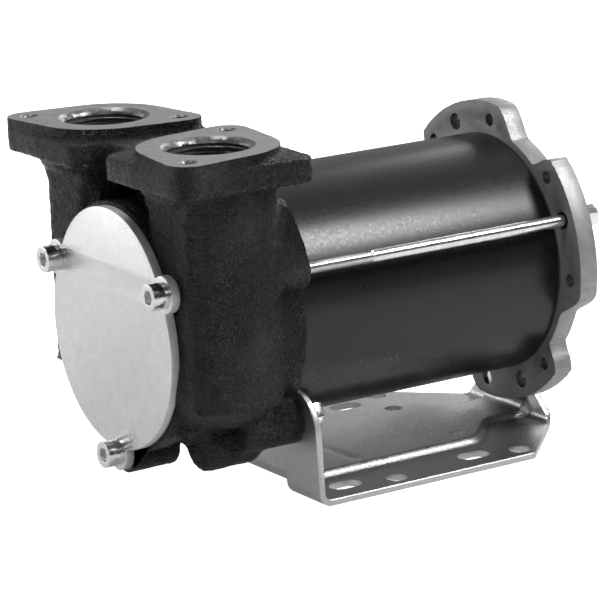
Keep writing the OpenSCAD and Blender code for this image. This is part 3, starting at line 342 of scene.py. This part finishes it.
def node_points(name):
    """Welded points and triangles of a CAD node, in millimetres."""
    o = frame["nodes"][name]
    bm = bmesh.new()
    bm.from_mesh(o.data)
    bm.transform(o.matrix_world)
    bmesh.ops.remove_doubles(bm, verts=bm.verts, dist=WELD_M)
    bmesh.ops.scale(bm, vec=(PER_M, PER_M, PER_M), verts=bm.verts)
    return bm


def span(node):
    """The low and high corners of a CAD node, in millimetres."""
    return (Vector(v) * PER_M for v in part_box(node))


def tube_grid(rings):
    """A closed solid from rings of the same count, with capped ends."""
    n = len(rings[0])
    pts = [p for r in rings for p in r]
    faces = []
    for i in range(len(rings) - 1):
        for j in range(n):
            k = (j + 1) % n
            faces.append((i * n + j, i * n + k, (i + 1) * n + k, (i + 1) * n + j))
    faces.append(tuple(range(n)))
    faces.append(tuple(range((len(rings) - 1) * n, len(rings) * n)))
    return pts, faces


def lathe(profile, place, axis, seg):
    """Turns (radius, height) pairs about an axis. place is the axis's start, axis is y or z."""
    rings = []
    for r, h in profile:
        ring = []
        for j in range(seg):
            a = 2 * math.pi * j / seg
            c, s = r * math.cos(a), r * math.sin(a)
            p = {"y": (s, h, c), "z": (c, s, h)}[axis]
            ring.append((p[0] + place[0], p[1] + place[1], p[2] + place[2]))
        rings.append(ring)
    return tube_grid(rings)


def turned(profile, place, axis, seg):
    return scratch(*lathe(profile, place, axis, seg))


def cylinder(place, axis, r, a, b, seg):
    return turned([(r, a), (r, b)], place, axis, seg)


def prism_y(outline, y0, y1):
    """(x, z over the shaft axis) outline pushed along y."""
    rings = [[(x, y, z + H) for x, z in outline] for y in (y0, y1)]
    return scratch(*tube_grid(rings))


def prism_z(outline, z0, z1):
    """(x, y) outline pushed along z."""
    rings = [[(x, y, z) for x, y in outline] for z in (z0, z1)]
    return scratch(*tube_grid(rings))


def box(x0, x1, y0, y1, z0, z1):
    return prism_z([(x0, y0), (x1, y0), (x1, y1), (x0, y1)], z0, z1)


def applied(o):
    dg = bpy.context.evaluated_depsgraph_get()
    me = bpy.data.meshes.new_from_object(o.evaluated_get(dg), depsgraph=dg)
    o.modifiers.clear()
    old = o.data
    o.data = me
    bpy.data.meshes.remove(old)


def combine(o, other, op):
    m = o.modifiers.new("b", "BOOLEAN")
    m.operation = op
    m.solver = "MANIFOLD"
    m.object = other
    bpy.context.view_layer.update()
    applied(o)
    bpy.data.objects.remove(other)


def add(o, other):
    combine(o, other, "UNION")


def cut(o, other):
    combine(o, other, "DIFFERENCE")


def arc(cx, cy, r, a0, sweep, n):
    turns = [math.radians(a0 + sweep * i / n) for i in range(n + 1)]
    return [(cx + r * math.cos(a), cy + r * math.sin(a)) for a in turns]


def around(r, turn):
    """x and z at a radius and angle about the shaft axis."""
    return r * math.cos(math.radians(turn)), H + r * math.sin(math.radians(turn))


def near(v, target, tol=0.06):
    return abs(v - target) < tol


def ease(x):
    """Rises smoothly from 0 to 1 as x does."""
    x = min(1.0, max(0.0, x))
    return x * x * (3 - 2 * x)


def thread(minor, major, pitch, start, end):
    """(radius, height) pairs of a row of thread grooves, upward."""
    low_end, high_start, high_end = 0.15, 0.5, 0.6      # shares of a pitch
    out = []
    n = int((end - start) / pitch)
    for k in range(n):
        h = start + k * pitch
        out += [(minor, h), (minor, h + low_end * pitch)]
        out += [(major, h + high_start * pitch), (major, h + high_end * pitch)]
    out.append((minor, start + n * pitch))
    return out


def is_crease(e, angle):
    return len(e.link_faces) == 2 and e.calc_face_angle(0) > math.radians(angle)


def stand_in(bm, node, suffix, mats, crease):
    """Millimetre bmesh to a finished piece in metres that stands for a CAD node."""
    for f in bm.faces:
        f.smooth = True
    for e in bm.edges:
        e.smooth = not is_crease(e, crease)
    bmesh.ops.scale(bm, vec=(MM, MM, MM), verts=bm.verts)
    me = bpy.data.meshes.new(node + suffix)
    bm.to_mesh(me)
    bm.free()
    o = new_object(node + suffix, me, mats)
    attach(o, BODY)
    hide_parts(node)
    return o


def dressed(node, mats, bevel, segments, tint=None, change=None):
    """A copy of a CAD node with broken edges, which stands for the node."""
    flat, edge, crease = 1.5, 40, 32    # degrees: one face, an edge to break, an edge that shows
    bm = node_points(node)
    if change:
        o = to_object(bm)
        change(o)
        bm = taken(o)
    bmesh.ops.dissolve_limit(bm, angle_limit=math.radians(flat), verts=bm.verts, edges=bm.edges,
                             delimit=set())
    sharp = [e for e in bm.edges if is_crease(e, edge)]
    bmesh.ops.bevel(bm, geom=sharp, offset=bevel, segments=segments, profile=0.5,
                    affect="EDGES", clamp_overlap=True)
    if tint:
        tint(bm)
    stand_in(bm, node, "_finished", mats, crease)


# ---------------------------------------------------------------- the cast body
# Outlines are (x, z over the shaft axis), profiles are (radius, height) about an upright axis
RAISED = 3                                      # machined faces stand out so far until they are cut
FAR_TRIM = [(-56.5, -80), (-56.5, 12), (-60.5, 26), (-75, 26), (-75, -80)]
FAR_TRIM_Y = (-130, -86)
COLUMN_FOOT = [(3, 33), (11, 34.5), (17.5, 38.5), (21.5, 44), (22.8, 51), (22.8, 60)]
COLUMN_FOOT_X, COLUMN_FOOT_Y = 36.5, -96
RIB, RIB_Y = ((34, -28), (41, -35), (33.5, -42.8), (26, -35.5)), (-111, -94)
WEB, WEB_Y = ((14, -38), (26, -32), (25, -46.5), (16, -46.5)), (-103.5, -92)
COLLAR = [(23.4, UNDER - 5.5), (24.6, UNDER - 3), (26.2, UNDER + 1)]
COLUMN_HALF = 14.5                              # from the port axis to a corner of the column's front
CHIP = ((-5.5, -2), (3.5, 4.6), (6, -2))        # what a corner loses, outward and back from the front
CHIP_Z = (44, UNDER - 9)
VOXEL, SMOOTHING, PASSES = 0.85, 0.5, 22        # how the casting's edges are softened
SKIN, SKIN_GRAIN = 0.24, 1.6                    # depth and size of the sand's marks
PORT_MINOR, PORT_MAJOR, PORT_PITCH, PORT_TURNS = 15.15, 16.3, 1.9, 8
PORT_BORE, PORT_DEPTH = 14, 41.7
RELIEF_R, RELIEF_LOW, RELIEF_HIGH = 16, TOP - 21, TOP - 18    # the groove below the port's thread
HOLE_MINOR, HOLE_MAJOR, HOLE_PITCH, HOLE_DEPTH = 2.65, 3.05, 1.0, 11
PORT_THREAD_END, HOLE_THREAD_END = 2.0, 0.8     # how far under the face the threads may reach
PORT_LEAD_R, PORT_LEAD, HOLE_LEAD = 16.2, 1.0, 0.5      # where the bevels of the mouths start
PORT_MOUTH, HOLE_MOUTH = 17.25, 3.5
BARE_Z = 96                                     # the ports' walls are bare metal above this
COVER_SCREW_R, COVER_SCREW_TURNS, COVER_HOLE_R = 45, (30, 150, 270), 3.6
RIM, RIM_DEPTH = 1.5, 8                         # the casting's rim around the cover
CHAMBER_R = 34.02
CUT_X, CUT_FRONT = 90, -150                     # how far the trimming boxes reach
Y, Z = 1, 2


def raise_faces(bm, axis, level):
    """Raises the faces that look along an axis at a level. They are cut back after the softening."""
    bm.normal_update()
    faces = [f for f in bm.faces
             if f.normal[axis] > ON_FACE and near(f.calc_center_median()[axis], level)]
    new = bmesh.ops.extrude_face_region(bm, geom=faces)
    verts = [g for g in new["geom"] if isinstance(g, bmesh.types.BMVert)]
    vec = Vector((0, 0, 0))
    vec[axis] = RAISED
    bmesh.ops.translate(bm, verts=verts, vec=vec)
    bmesh.ops.delete(bm, geom=faces, context="FACES")


def soften(o):
    m = o.modifiers.new("r", "REMESH")
    m.mode = "VOXEL"
    m.voxel_size = VOXEL
    m = o.modifiers.new("s", "SMOOTH")
    m.factor, m.iterations = SMOOTHING, PASSES
    bpy.context.view_layer.update()
    applied(o)


def roughen(o):
    """Moves the points of a casting along their normals, as sand leaves it."""
    coarse, coarse_share, offset, sink = 0.35, 0.8, Vector((7, 3, 1)), 0.2
    me = o.data
    normals = [v.normal.copy() for v in me.vertices]
    for v, n in zip(me.vertices, normals):
        q = v.co / SKIN_GRAIN
        v.co += n * SKIN * (noise.noise(q) + coarse_share * noise.noise(q * coarse + offset) - sink)
        v.co.x = min(BOX_X, max(-BOX_X, v.co.x))
        v.co.y = max(BOX_FRONT, v.co.y)


def cover_outline(grow):
    """The cover's outline over the shaft axis, moved outward by a distance."""
    bm = node_points("front_cover")
    pts = [(v.co.x, v.co.z - H) for v in bm.verts if near(v.co.y, COVER)]
    bm.free()
    screws = [(COVER_SCREW_R * math.cos(math.radians(t)), COVER_SCREW_R * math.sin(math.radians(t)))
              for t in COVER_SCREW_TURNS]
    pts = [q for q in pts
           if min(math.hypot(q[0] - x, q[1] + DROP - z) for x, z in screws) > COVER_HOLE_R]
    pts.sort(key=lambda q: math.atan2(q[1] + DROP, q[0]))
    out = []
    for k, q in enumerate(pts):
        a, b = pts[k - 1], pts[(k + 1) % len(pts)]
        d = Vector((b[0] - a[0], b[1] - a[1])).normalized()
        out.append((q[0] + d.y * grow, q[1] - d.x * grow))
    return out


def cast_forms(o):
    """Adds the forms that only the casting's skin has, and trims its columns."""
    cut(o, prism_y(FAR_TRIM, *FAR_TRIM_Y))
    for s in (-1, 1):
        # The foot of the column, drawn in towards the lower lump
        add(o, turned(COLUMN_FOOT, (s * COLUMN_FOOT_X, COLUMN_FOOT_Y, 0), "z", 48))
        # The rib that runs down from the column to the lower lump
        add(o, prism_y([(s * x, z) for x, z in RIB], *RIB_Y))
        # The web between the cover's lower boss and the lump
        add(o, prism_y([(s * x, z) for x, z in WEB], *WEB_Y))
        # The collar where the column widens into its flange
        add(o, turned(COLLAR, (s * PORT_X, PORT_Y, 0), "z", 64))
        # The blunt corners of the column's trimmed front
        for e in (-1, 1):
            x = s * PORT_X + e * COLUMN_HALF
            cut(o, prism_z([(x + e * out, FRONT + back) for out, back in CHIP], *CHIP_Z))


def port_threads(o):
    """Cuts the ports and the flange holes with their thread grooves."""
    port_start = TOP - PORT_THREAD_END - PORT_TURNS * PORT_PITCH
    port = [(PORT_BORE, TOP - PORT_DEPTH), (PORT_BORE, RELIEF_LOW), (RELIEF_R, RELIEF_LOW)]
    port += [(RELIEF_R, RELIEF_HIGH), (PORT_MINOR, RELIEF_HIGH)]
    port += thread(PORT_MINOR, PORT_MAJOR, PORT_PITCH, port_start, TOP - PORT_PITCH)
    port += [(PORT_LEAD_R, TOP - PORT_LEAD), (PORT_MOUTH, TOP), (PORT_MOUTH, TOP + RAISED)]
    hole = thread(HOLE_MINOR, HOLE_MAJOR, HOLE_PITCH, TOP - HOLE_DEPTH, TOP - HOLE_THREAD_END)
    hole += [(HOLE_MAJOR, TOP - HOLE_LEAD), (HOLE_MOUTH, TOP), (HOLE_MOUTH, TOP + RAISED)]
    for s in (1, -1):
        cut(o, turned(port, (s * PORT_X, PORT_Y, 0), "z", 72))
        for e in (-1, 1):
            x, y = s * PORT_X + e * s * FLANGE_HOLE, PORT_Y - e * FLANGE_HOLE
            cut(o, turned(hole, (x, y, 0), "z", 28))


def body_casting():
    bm = node_points("pump_body")
    raise_faces(bm, Z, TOP)
    raise_faces(bm, Y, SEAT)
    o = to_object(bm)
    cast_forms(o)
    soften(o)
    roughen(o)
    port_threads(o)
    cut(o, box(-CUT_X, CUT_X, CUT_FRONT, 0, TOP, TOP + CLEAR))
    add(o, prism_y(cover_outline(RIM), FRONT, FRONT + RIM_DEPTH))
    cut(o, cylinder((0, 0, H - DROP), "y", CHAMBER_R, FRONT - CLEAR, CHAMBER_BACK, 240))
    cut(o, box(-CUT_X, CUT_X, SEAT, SEAT + CLEAR, -CLEAR, TOP + CLEAR))
    bm = taken(o)
    bm.normal_update()
    cast, machined, bare = 0, 1, 2
    for f in bm.faces:
        c = f.calc_center_median()
        f.material_index = cast
        side = math.copysign(1, c.x)
        dx, dy = c.x - side * PORT_X, c.y - PORT_Y
        to_hole = min(math.hypot(dx - e * side * FLANGE_HOLE, dy + e * FLANGE_HOLE)
                      for e in (-1, 1))
        if f.normal.z > ON_FACE and near(c.z, TOP):
            f.material_index = machined
        elif c.z > BARE_Z and math.hypot(dx, dy) < PORT_MOUTH + 0.15:
            f.material_index = bare
        elif c.z > TOP - HOLE_DEPTH - 1 and to_hole < HOLE_MOUTH + 0.1:
            f.material_index = bare
        elif near(c.y, SEAT, 0.03):
            f.material_index = machined
    stand_in(bm, "pump_body", "_finished", [M["cast"], M["machined"], M["bore"]], 38)


body_casting()


# ---------------------------------------------------------------- tie rods
ROD_R, ROD_CORE, ROD_TIP, ROD_PITCH, ROD_THREAD_END = 2.5, 2.12, 1.9, 0.8, -37.2
HEAD_L, HEAD_ACROSS, HEAD_CHAMFER = 5, 8, 0.5


def hexagon_head(centre, y0, y1, turn):
    """A hexagon head whose far end is chamfered."""
    half, seg, no_cap = HEAD_ACROSS / 2, 48, 99
    rings = []
    for y, cap in ((y0, no_cap), (y1 - HEAD_CHAMFER, no_cap), (y1, half * 0.96)):
        ring = []
        for j in range(seg):
            a = 2 * math.pi * j / seg
            local = (a % (math.pi / 3)) - math.pi / 6
            r = min(half / math.cos(local), cap)
            b = a + math.radians(turn)
            ring.append((centre[0] + r * math.cos(b), y, centre[1] + r * math.sin(b)))
        rings.append(ring)
    return tube_grid(rings)


def tie_rods():
    bm = bmesh.new()
    low, high = span("tie_rods")
    start, head = low.y, high.y - HEAD_L
    for turn in (ROD, ROD + 180):
        x, z = around(FIX_R, turn)
        prof = [(ROD_TIP, start), (ROD_CORE, start + 0.3)]
        prof += thread(ROD_CORE, ROD_R, ROD_PITCH, start + 0.4, ROD_THREAD_END)
        prof += [(ROD_R, prof[-1][1] + 0.6), (ROD_R, head + 0.2)]
        for pts, faces in (lathe(prof, (x, 0, z), "y", 32),
                           hexagon_head((x, z), head, high.y, turn)):
            w = scratch(pts, faces)
            bm.from_mesh(w.data)
            bpy.data.objects.remove(w)
    stand_in(bm, "tie_rods", "_threaded", [M["rod"]], 30)


tie_rods()


# ---------------------------------------------------------------- motor tube
def motor_tube():
    """The tube with broken edges, on a grid of its own so that its gloss runs straight."""
    wall, bevel, inner_bevel, bands, seg = 2.5, 0.3, 0.2, 12, 192
    low, high = span("motor_tube")
    y0, y1, inner = low.y, high.y, TUBE_R - wall
    prof = [(inner, y0 + inner_bevel), (inner + inner_bevel, y0)]
    prof += [(TUBE_R - bevel, y0), (TUBE_R, y0 + bevel)]
    prof += [(TUBE_R, y0 + (y1 - y0) * k / bands) for k in range(1, bands)]
    prof += [(TUBE_R, y1 - bevel), (TUBE_R - bevel, y1)]
    prof += [(inner + inner_bevel, y1), (inner, y1 - inner_bevel)]
    n = len(prof)
    pts = []
    for a in range(seg):
        t = 2 * math.pi * a / seg
        pts += [(q * math.cos(t), y, H + q * math.sin(t)) for q, y in prof]
    faces = [(a * n + i, a * n + (i + 1) % n, (a + 1) % seg * n + (i + 1) % n, (a + 1) % seg * n + i)
             for a in range(seg) for i in range(n)]
    stand_in(taken(scratch(pts, faces)), "motor_tube", "_painted", [M["tube"]], 30)


motor_tube()


# ---------------------------------------------------------------- the pressed foot
SHEET, BEND = 2.5, 5                            # sheet thickness, outer radius of the bends
FOOT_HALF, FRONT_HALF = 56.5, 56.13             # half widths at the platform and above the front bend
CORNER_Y, REAR_HALF = 30.74, 30.34              # where the cut corners start, half width they lead to
PLATFORM_HALF, REAR_PLATFORM_HALF = 32.25, 14   # half widths of the raised platform
NECK_Y, NECK_L = 19, 25                         # where the platform starts to narrow, over what length
PRESS, PRESS_LEAD, PRESS_RUN = 2.4, 1.4, 3.6    # height and edge of the raised platform
PRESS_LINES = ((4.3, 0.2, 0.7), (-33.0, 0.7, 1.9))    # station, depth and width of the faint lines
LINE_SLANT, LINE_MARGIN, LINE_FADE = 0.04, 4, 6     # how they slant, and fade at the platform's edge
CORNER_SHARE, CORNER_R, CORNER_X, CORNER_Z = 0.78, 15, 39.5, 27
CRADLE_R, CRADLE_X, UPRIGHT_Z = 47.5, 39.3, 42.0
LUG_R, LUG_Z = 10, 16.2                         # the rear lug's round end
SLOT_X, SLOT_Y, SLOT_MID, SLOT_HALF = 44, 29.5, -19, 2.5
HOLE_X, HOLE_Y, MOUNT_R = 49, 28.75, 4.25
MID_HOLE_X, MID_HOLE_Y, MID_HOLE_R = 22.3, 19, 3.5
STUD_X, STUD_DROP, STUD_HOLE_R, REAR_SLOT_HALF = 37.85, 38.515, 3.25, 3


def platform_half(y):
    """Half the width of the raised platform at a station along the foot."""
    turn = math.pi * min(1, max(0, (y - NECK_Y) / NECK_L))
    return PLATFORM_HALF - (PLATFORM_HALF - REAR_PLATFORM_HALF) / 2 * (1 - math.cos(turn))


def foot_lift(x, half, y=None):
    """How far the sheet is raised at x, on a platform of a half width."""
    lift = PRESS * ease((half + PRESS_LEAD - abs(x)) / PRESS_RUN)
    if y is not None:
        for line, depth, wide in PRESS_LINES:
            dip = math.exp(-((y - line - LINE_SLANT * x) / wide) ** 2)
            lift -= depth * dip * ease((half - LINE_MARGIN - abs(x)) / LINE_FADE)
    return lift


def foot_top(s):
    """Upper edge of the front upright, from one corner round to the other."""
    side, t = math.copysign(1, s), abs(s)
    if t > CORNER_SHARE:
        a = math.radians(90 * (1 - (t - CORNER_SHARE) / (1 - CORNER_SHARE)))
        return side * (CORNER_X + CORNER_R * math.cos(a)), CORNER_Z + CORNER_R * math.sin(a)
    x = CRADLE_X * t / CORNER_SHARE
    return side * x, min(UPRIGHT_Z, H - math.sqrt(CRADLE_R ** 2 - x ** 2))


def foot_point(s, t, h):
    """A point of the sheet: s across, t along, h through its thickness."""
    r = BEND - h
    if t < 1:
        # The front upright, from its upper edge down
        top = foot_top(s)
        x = top[0] + (s * FRONT_HALF - top[0]) * t
        lift = foot_lift(x, PLATFORM_HALF)
        return x, SEAT + lift + h, top[1] + (lift + BEND - top[1]) * t
    if t < 2:
        # The front bend
        a = math.radians(90 * (t - 1))
        x = s * (FRONT_HALF + (FOOT_HALF - FRONT_HALF) * (t - 1))
        lift = foot_lift(x, PLATFORM_HALF)
        return x, SEAT + lift + BEND - r * math.cos(a), lift + BEND - r * math.sin(a)
    if t <= 3:
        # The flat sheet with its raised platform
        length = FOOT_BACK - 2 * BEND - SEAT
        y = SEAT + BEND + length * (t - 2)
        x = s * min(FOOT_HALF, FOOT_HALF - (y - CORNER_Y))
        lift = foot_lift(x, platform_half(y), y)
        y = SEAT + BEND + lift + (length - 2 * lift) * (t - 2)
        return x, y, lift + h
    if t < 4:
        # The rear bend
        a = math.radians(90 * (t - 3))
        y0, z0 = FOOT_BACK - BEND + BEND * math.sin(a), BEND - BEND * math.cos(a)
        x = s * min(FOOT_HALF - (y0 - CORNER_Y), REAR_HALF - z0)
        lift = foot_lift(x, REAR_PLATFORM_HALF)
        return x, FOOT_BACK - lift - BEND + r * math.sin(a), lift + BEND - r * math.cos(a)
    # The rear lug, drawn in to its round end
    a = math.radians(45 * s)
    k = min(1.0, t - 4)
    x = s * (REAR_HALF - BEND) * (1 - k) + LUG_R * math.sin(a) * k
    z = BEND + (LUG_Z - BEND + LUG_R * math.cos(a)) * k
    lift = foot_lift(x, REAR_PLATFORM_HALF) * ease((10.5 - z) / 4)
    return x, FOOT_BACK - lift - h, z + lift * (1 - k) * ease((7 - z) / 3)


def rim_of(grid):
    """The outer loop of a grid of point numbers."""
    n, m = len(grid), len(grid[0])
    out = [grid[0][j] for j in range(m)] + [grid[i][m - 1] for i in range(1, n)]
    out += [grid[n - 1][j] for j in range(m - 2, -1, -1)] + [grid[i][0] for i in range(n - 2, 0, -1)]
    return out


def foot_sheet():
    """The bent sheet without its holes, with broken edges."""
    inset, edge = 0.006, 0.3
    first, last = 0.012, 4.985                  # where the faces' end rows lie, for the broken edge
    steps, across = (26, 8, 110, 8, 16), 124    # rows in the sheet's five parts, columns
    rows = [part + k / n for part, n in enumerate(steps) for k in range(n)] + [4.9999]
    cols = [-1 + 2 * k / across for k in range(across + 1)]
    pts, faces, loops = [], [], []
    for h in (0.0, SHEET):
        grid = []
        for t in [first] + rows[1:-1] + [last]:
            grid.append(list(range(len(pts), len(pts) + len(cols))))
            pts += [foot_point(s * (1 - inset), t, h) for s in cols]
        for a, b in zip(grid, grid[1:]):
            faces += [(a[j], a[j + 1], b[j + 1], b[j]) for j in range(len(cols) - 1)]
        loops.append(rim_of(grid))
    for h in (edge, SHEET - edge):
        ring = rim_of([[(s, t) for s in cols] for t in rows])
        loops.append(list(range(len(pts), len(pts) + len(ring))))
        pts += [foot_point(s, t, h) for s, t in ring]
    order = [loops[0], loops[2], loops[3], loops[1]]
    for a, b in zip(order, order[1:]):
        for k in range(len(a)):
            j = (k + 1) % len(a)
            faces.append((a[k], a[j], b[j], b[k]))
    return scratch(pts, faces)


def foot_bracket():
    o = foot_sheet()
    below, above = -3, CLEAR
    for side in (-1, 1):
        for e in (-1, 1):
            x, y = side * SLOT_X, e * SLOT_Y + SLOT_MID
            ring = arc(x, y + SLOT_HALF, MOUNT_R, 0, 180, 14)
            ring += arc(x, y - SLOT_HALF, MOUNT_R, 180, 180, 14)
            cut(o, prism_z(ring, below, above))
            cut(o, cylinder((side * HOLE_X, e * HOLE_Y, 0), "z", MOUNT_R, below, above, 32))
        cut(o, cylinder((side * MID_HOLE_X, MID_HOLE_Y, 0), "z", MID_HOLE_R, below, above + 3, 32))
        stud = (side * STUD_X, 0, H - STUD_DROP)
        cut(o, cylinder(stud, "y", STUD_HOLE_R, SEAT - 5, SEAT + CLEAR, 32))
    ring = arc(REAR_SLOT_HALF, LUG_Z - H, STUD_HOLE_R, -90, 180, 12)
    ring += arc(-REAR_SLOT_HALF, LUG_Z - H, STUD_HOLE_R, 90, 180, 12)
    cut(o, prism_y(ring, FOOT_BACK - CLEAR, FOOT_BACK + 4))
    stand_in(taken(o), "foot_bracket", "_pressed", [M["galv"]], 40)


foot_bracket()


# ---------------------------------------------------------------- dressed copies of plain nodes
for node, key, width, steps in (
        ("cover_screws", "zinc", 0.45, 3), ("foot_nuts", "zinc", 0.25, 2),
        ("foot_washers", "zinc", 0.2, 2), ("foot_spring_washers", "zinc", 0.2, 2),
        ("foot_studs", "zinc", 0.35, 2), ("foot_rear_screw", "zinc", 0.3, 2),
        ("tie_rod_washers", "zinc", 0.2, 2), ("cable_grommet", "rubber", 0.5, 3)):
    dressed(node, [M[key]], width, steps)


# The springs, each a copy with a mesh of its own
for node, joint, anchor_x, travel in (("bypass_spring", "poppet_slide", -17, 3),
                                      ("brush_spring_right", "brush_right_slide", 35.7, 3),
                                      ("brush_spring_left", "brush_left_slide", -35.7, 3)):
    spring = stand_in(node_points(node), node, "_coil", [M["spring"]], 60)
    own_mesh(spring)


def cover_tint(bm):
    """The cover's rim, which is duller than its face."""
    bm.normal_update()
    for f in bm.faces:
        f.material_index = 1 if abs(f.normal.y) < 0.6 else 0


dressed("front_cover", [M["cover"], M["cover_edge"]], 0.7, 3, tint=cover_tint)


# ---------------------------------------------------------------- the end bell
# Angles are in degrees about the shaft axis, those within a lobe from its middle
LOBES = [ROD + 90 * k for k in range(4)]
BEFORE, MIDDLE, AFTER = -25.5, 0, 19.5          # a lobe's three holes, of which the middle one is plain
TAPPED_R, PLAIN_R = 2.5, 3.4
LOBE_HOLES = ((BEFORE, TAPPED_R), (MIDDLE, PLAIN_R), (AFTER, TAPPED_R))
LOBE_SIDES = ((BEFORE, -1, 17), (AFTER, 1, 9))  # where a run-out starts, its direction and its reach
LOBE_LEAD = 2                                   # its outer line starts so far beyond the hole
BELL_R, RUN_OUT_R, RUN_OUT_H = TUBE_R, 49.4, 10.3


def bell_tint(bm):
    """The face towards the motor takes a darker, duller aluminium and the holes' walls a darker iron;
    both darkenings are painted shade.
    """
    rim, face, wall = 0, 1, 2
    holes = [around(FIX_R, lobe + lead) for lobe in LOBES for lead, _ in LOBE_HOLES]
    for f in bm.faces:
        c = f.calc_center_median()
        # The face towards the motor gets the darker aluminium, a painted shade
        f.material_index = face if f.normal.y < -0.9 and near(c.y, BELL, 0.5) else rim
        to_hole = min(math.hypot(c.x - x, c.z - z) for x, z in holes)
        # The darker walls are painted shade deep in the holes
        if abs(f.normal.y) < 0.3 and to_hole < PLAIN_R + 0.3:
            f.material_index = wall


def bell_lobes(o):
    """The run-outs between the lobes and the bell's round body, and the holes through them."""
    inner, outer, skin, shoulder = 8, 16, 0.02, 0.12
    for lobe in LOBES:
        for lead, way, reach in LOBE_SIDES:
            a0, full = lobe + lead, LOBE_LEAD + reach
            ring = [around(BELL_R, a0 + way * full * i / inner) for i in range(inner, -1, -1)]
            for i in range(outer + 1):
                t = i / outer
                r = RUN_OUT_R + RUN_OUT_H * (1 - ease((t - shoulder) / (1 - shoulder)))
                ring.append(around(r, a0 + way * (LOBE_LEAD + reach * t)))
            add(o, prism_y([(x, z - H) for x, z in ring], BELL + skin, BELL_BACK - skin))
        for lead, r in LOBE_HOLES:
            x, z = around(FIX_R, lobe + lead)
            cut(o, cylinder((x, 0, z), "y", r, BELL - 1, BELL_BACK + 1, 24))


# The second and third materials are painted shade on the face towards the motor and in the holes
dressed("end_bell", [M["alu"], M["alu_painted_shade"], M["bore"]], 0.5, 2, tint=bell_tint, change=bell_lobes)


# ---------------------------------------------------------------- floor, world and lamps, in metres
FLOOR_HALF = 6
CAMERA_GLOW, GLOSSY_GLOW = 1.3, 0.20            # the floor's own light to the camera and in reflections
WORLD_LIGHT = (-0.72, 0.25, 0.45)               # the world is brighter to the left and behind
WORLD_RAMP = ((0.15, 0.03), (0.5, 0.07), (0.95, 0.42))
# name, place, aim, sides, power in watts
LAMPS = (("tube_box", (0.50, 0.42, 0.745), (0, 0, 0.07), (0.20, 0.30), 6.8),
         ("top_box", (-0.15, -0.2, 1.0), (0, 0, 0.06), (0.35, 0.35), 3.6),
         ("left_box", (-0.95, -0.75, 0.30), (0, -0.05, 0.06), (0.6, 0.6), 2.45),
         ("front_fill", (0.95, -0.75, 0.75), (0, -0.05, 0.06), (0.16, 0.16), 1.3),
         ("back_fill", (-0.6, 0.9, 0.6), (0, 0, 0.06), (0.5, 0.5), 3))


def floor():
    n = Nodes("studio_floor")
    grain = n.noise(40, 3, 0.5)
    n.set(color=n.ramp(grain, 0.71, 0.73), rough=0.6, spec=0.2, normal=n.bump(grain, 0.0001, 0.1))
    lp = n.add("ShaderNodeLightPath")
    glow = n.math("ADD", n.math("MULTIPLY", lp.outputs["Is Camera Ray"], CAMERA_GLOW),
                  n.math("MULTIPLY", lp.outputs["Is Glossy Ray"], GLOSSY_GLOW))
    n.bsdf.inputs["Emission Color"].default_value = (1, 1, 1, 1)
    n.link(glow, n.bsdf.inputs["Emission Strength"])
    q = FLOOR_HALF
    me = mesh_of([(-q, -q, 0), (q, -q, 0), (q, q, 0), (-q, q, 0)], [(0, 1, 2, 3)], "floor")
    o = new_object("floor", me, [n.mat])


def world():
    w = bpy.data.worlds.new("studio")
    bpy.context.scene.world = w
    w.use_nodes = True
    tree = w.node_tree
    bg = next(x for x in tree.nodes if x.type == "BACKGROUND")
    new, link = tree.nodes.new, tree.links.new
    lp, coord, dot = new("ShaderNodeLightPath"), new("ShaderNodeTexCoord"), new("ShaderNodeVectorMath")
    share, ramp, mix = new("ShaderNodeMapRange"), new("ShaderNodeValToRGB"), new("ShaderNodeMix")
    dot.operation = "DOT_PRODUCT"
    dot.inputs[1].default_value = WORLD_LIGHT
    share.inputs["From Min"].default_value = -1
    e = ramp.color_ramp.elements
    e.new(0.5)
    for k, (pos, v) in enumerate(WORLD_RAMP):
        e[k].position, e[k].color = pos, (v, v, v, 1)
    link(coord.outputs["Generated"], dot.inputs[0])
    link(dot.outputs["Value"], share.inputs["Value"])
    link(share.outputs["Result"], ramp.inputs["Fac"])
    # The camera sees plain white. The colour sockets of a Mix node are found by number.
    mix.data_type = "RGBA"
    factor, first, second, result = 0, 6, 7, 2
    link(lp.outputs["Is Camera Ray"], mix.inputs[factor])
    link(ramp.outputs["Color"], mix.inputs[first])
    mix.inputs[second].default_value = (1, 1, 1, 1)
    link(mix.outputs[result], bg.inputs["Color"])


def lamps():
    for name, place, aim, sides, power in LAMPS:
        d = bpy.data.lights.new(name, "AREA")
        d.energy = power
        d.shape = "RECTANGLE"
        d.size, d.size_y = sides
        o = bpy.data.objects.new(name, d)
        o.location = place
        o.rotation_euler = (Vector(aim) - Vector(place)).to_track_quat("-Z", "Y").to_euler()
        bpy.context.scene.collection.objects.link(o)


floor()
world()
lamps()
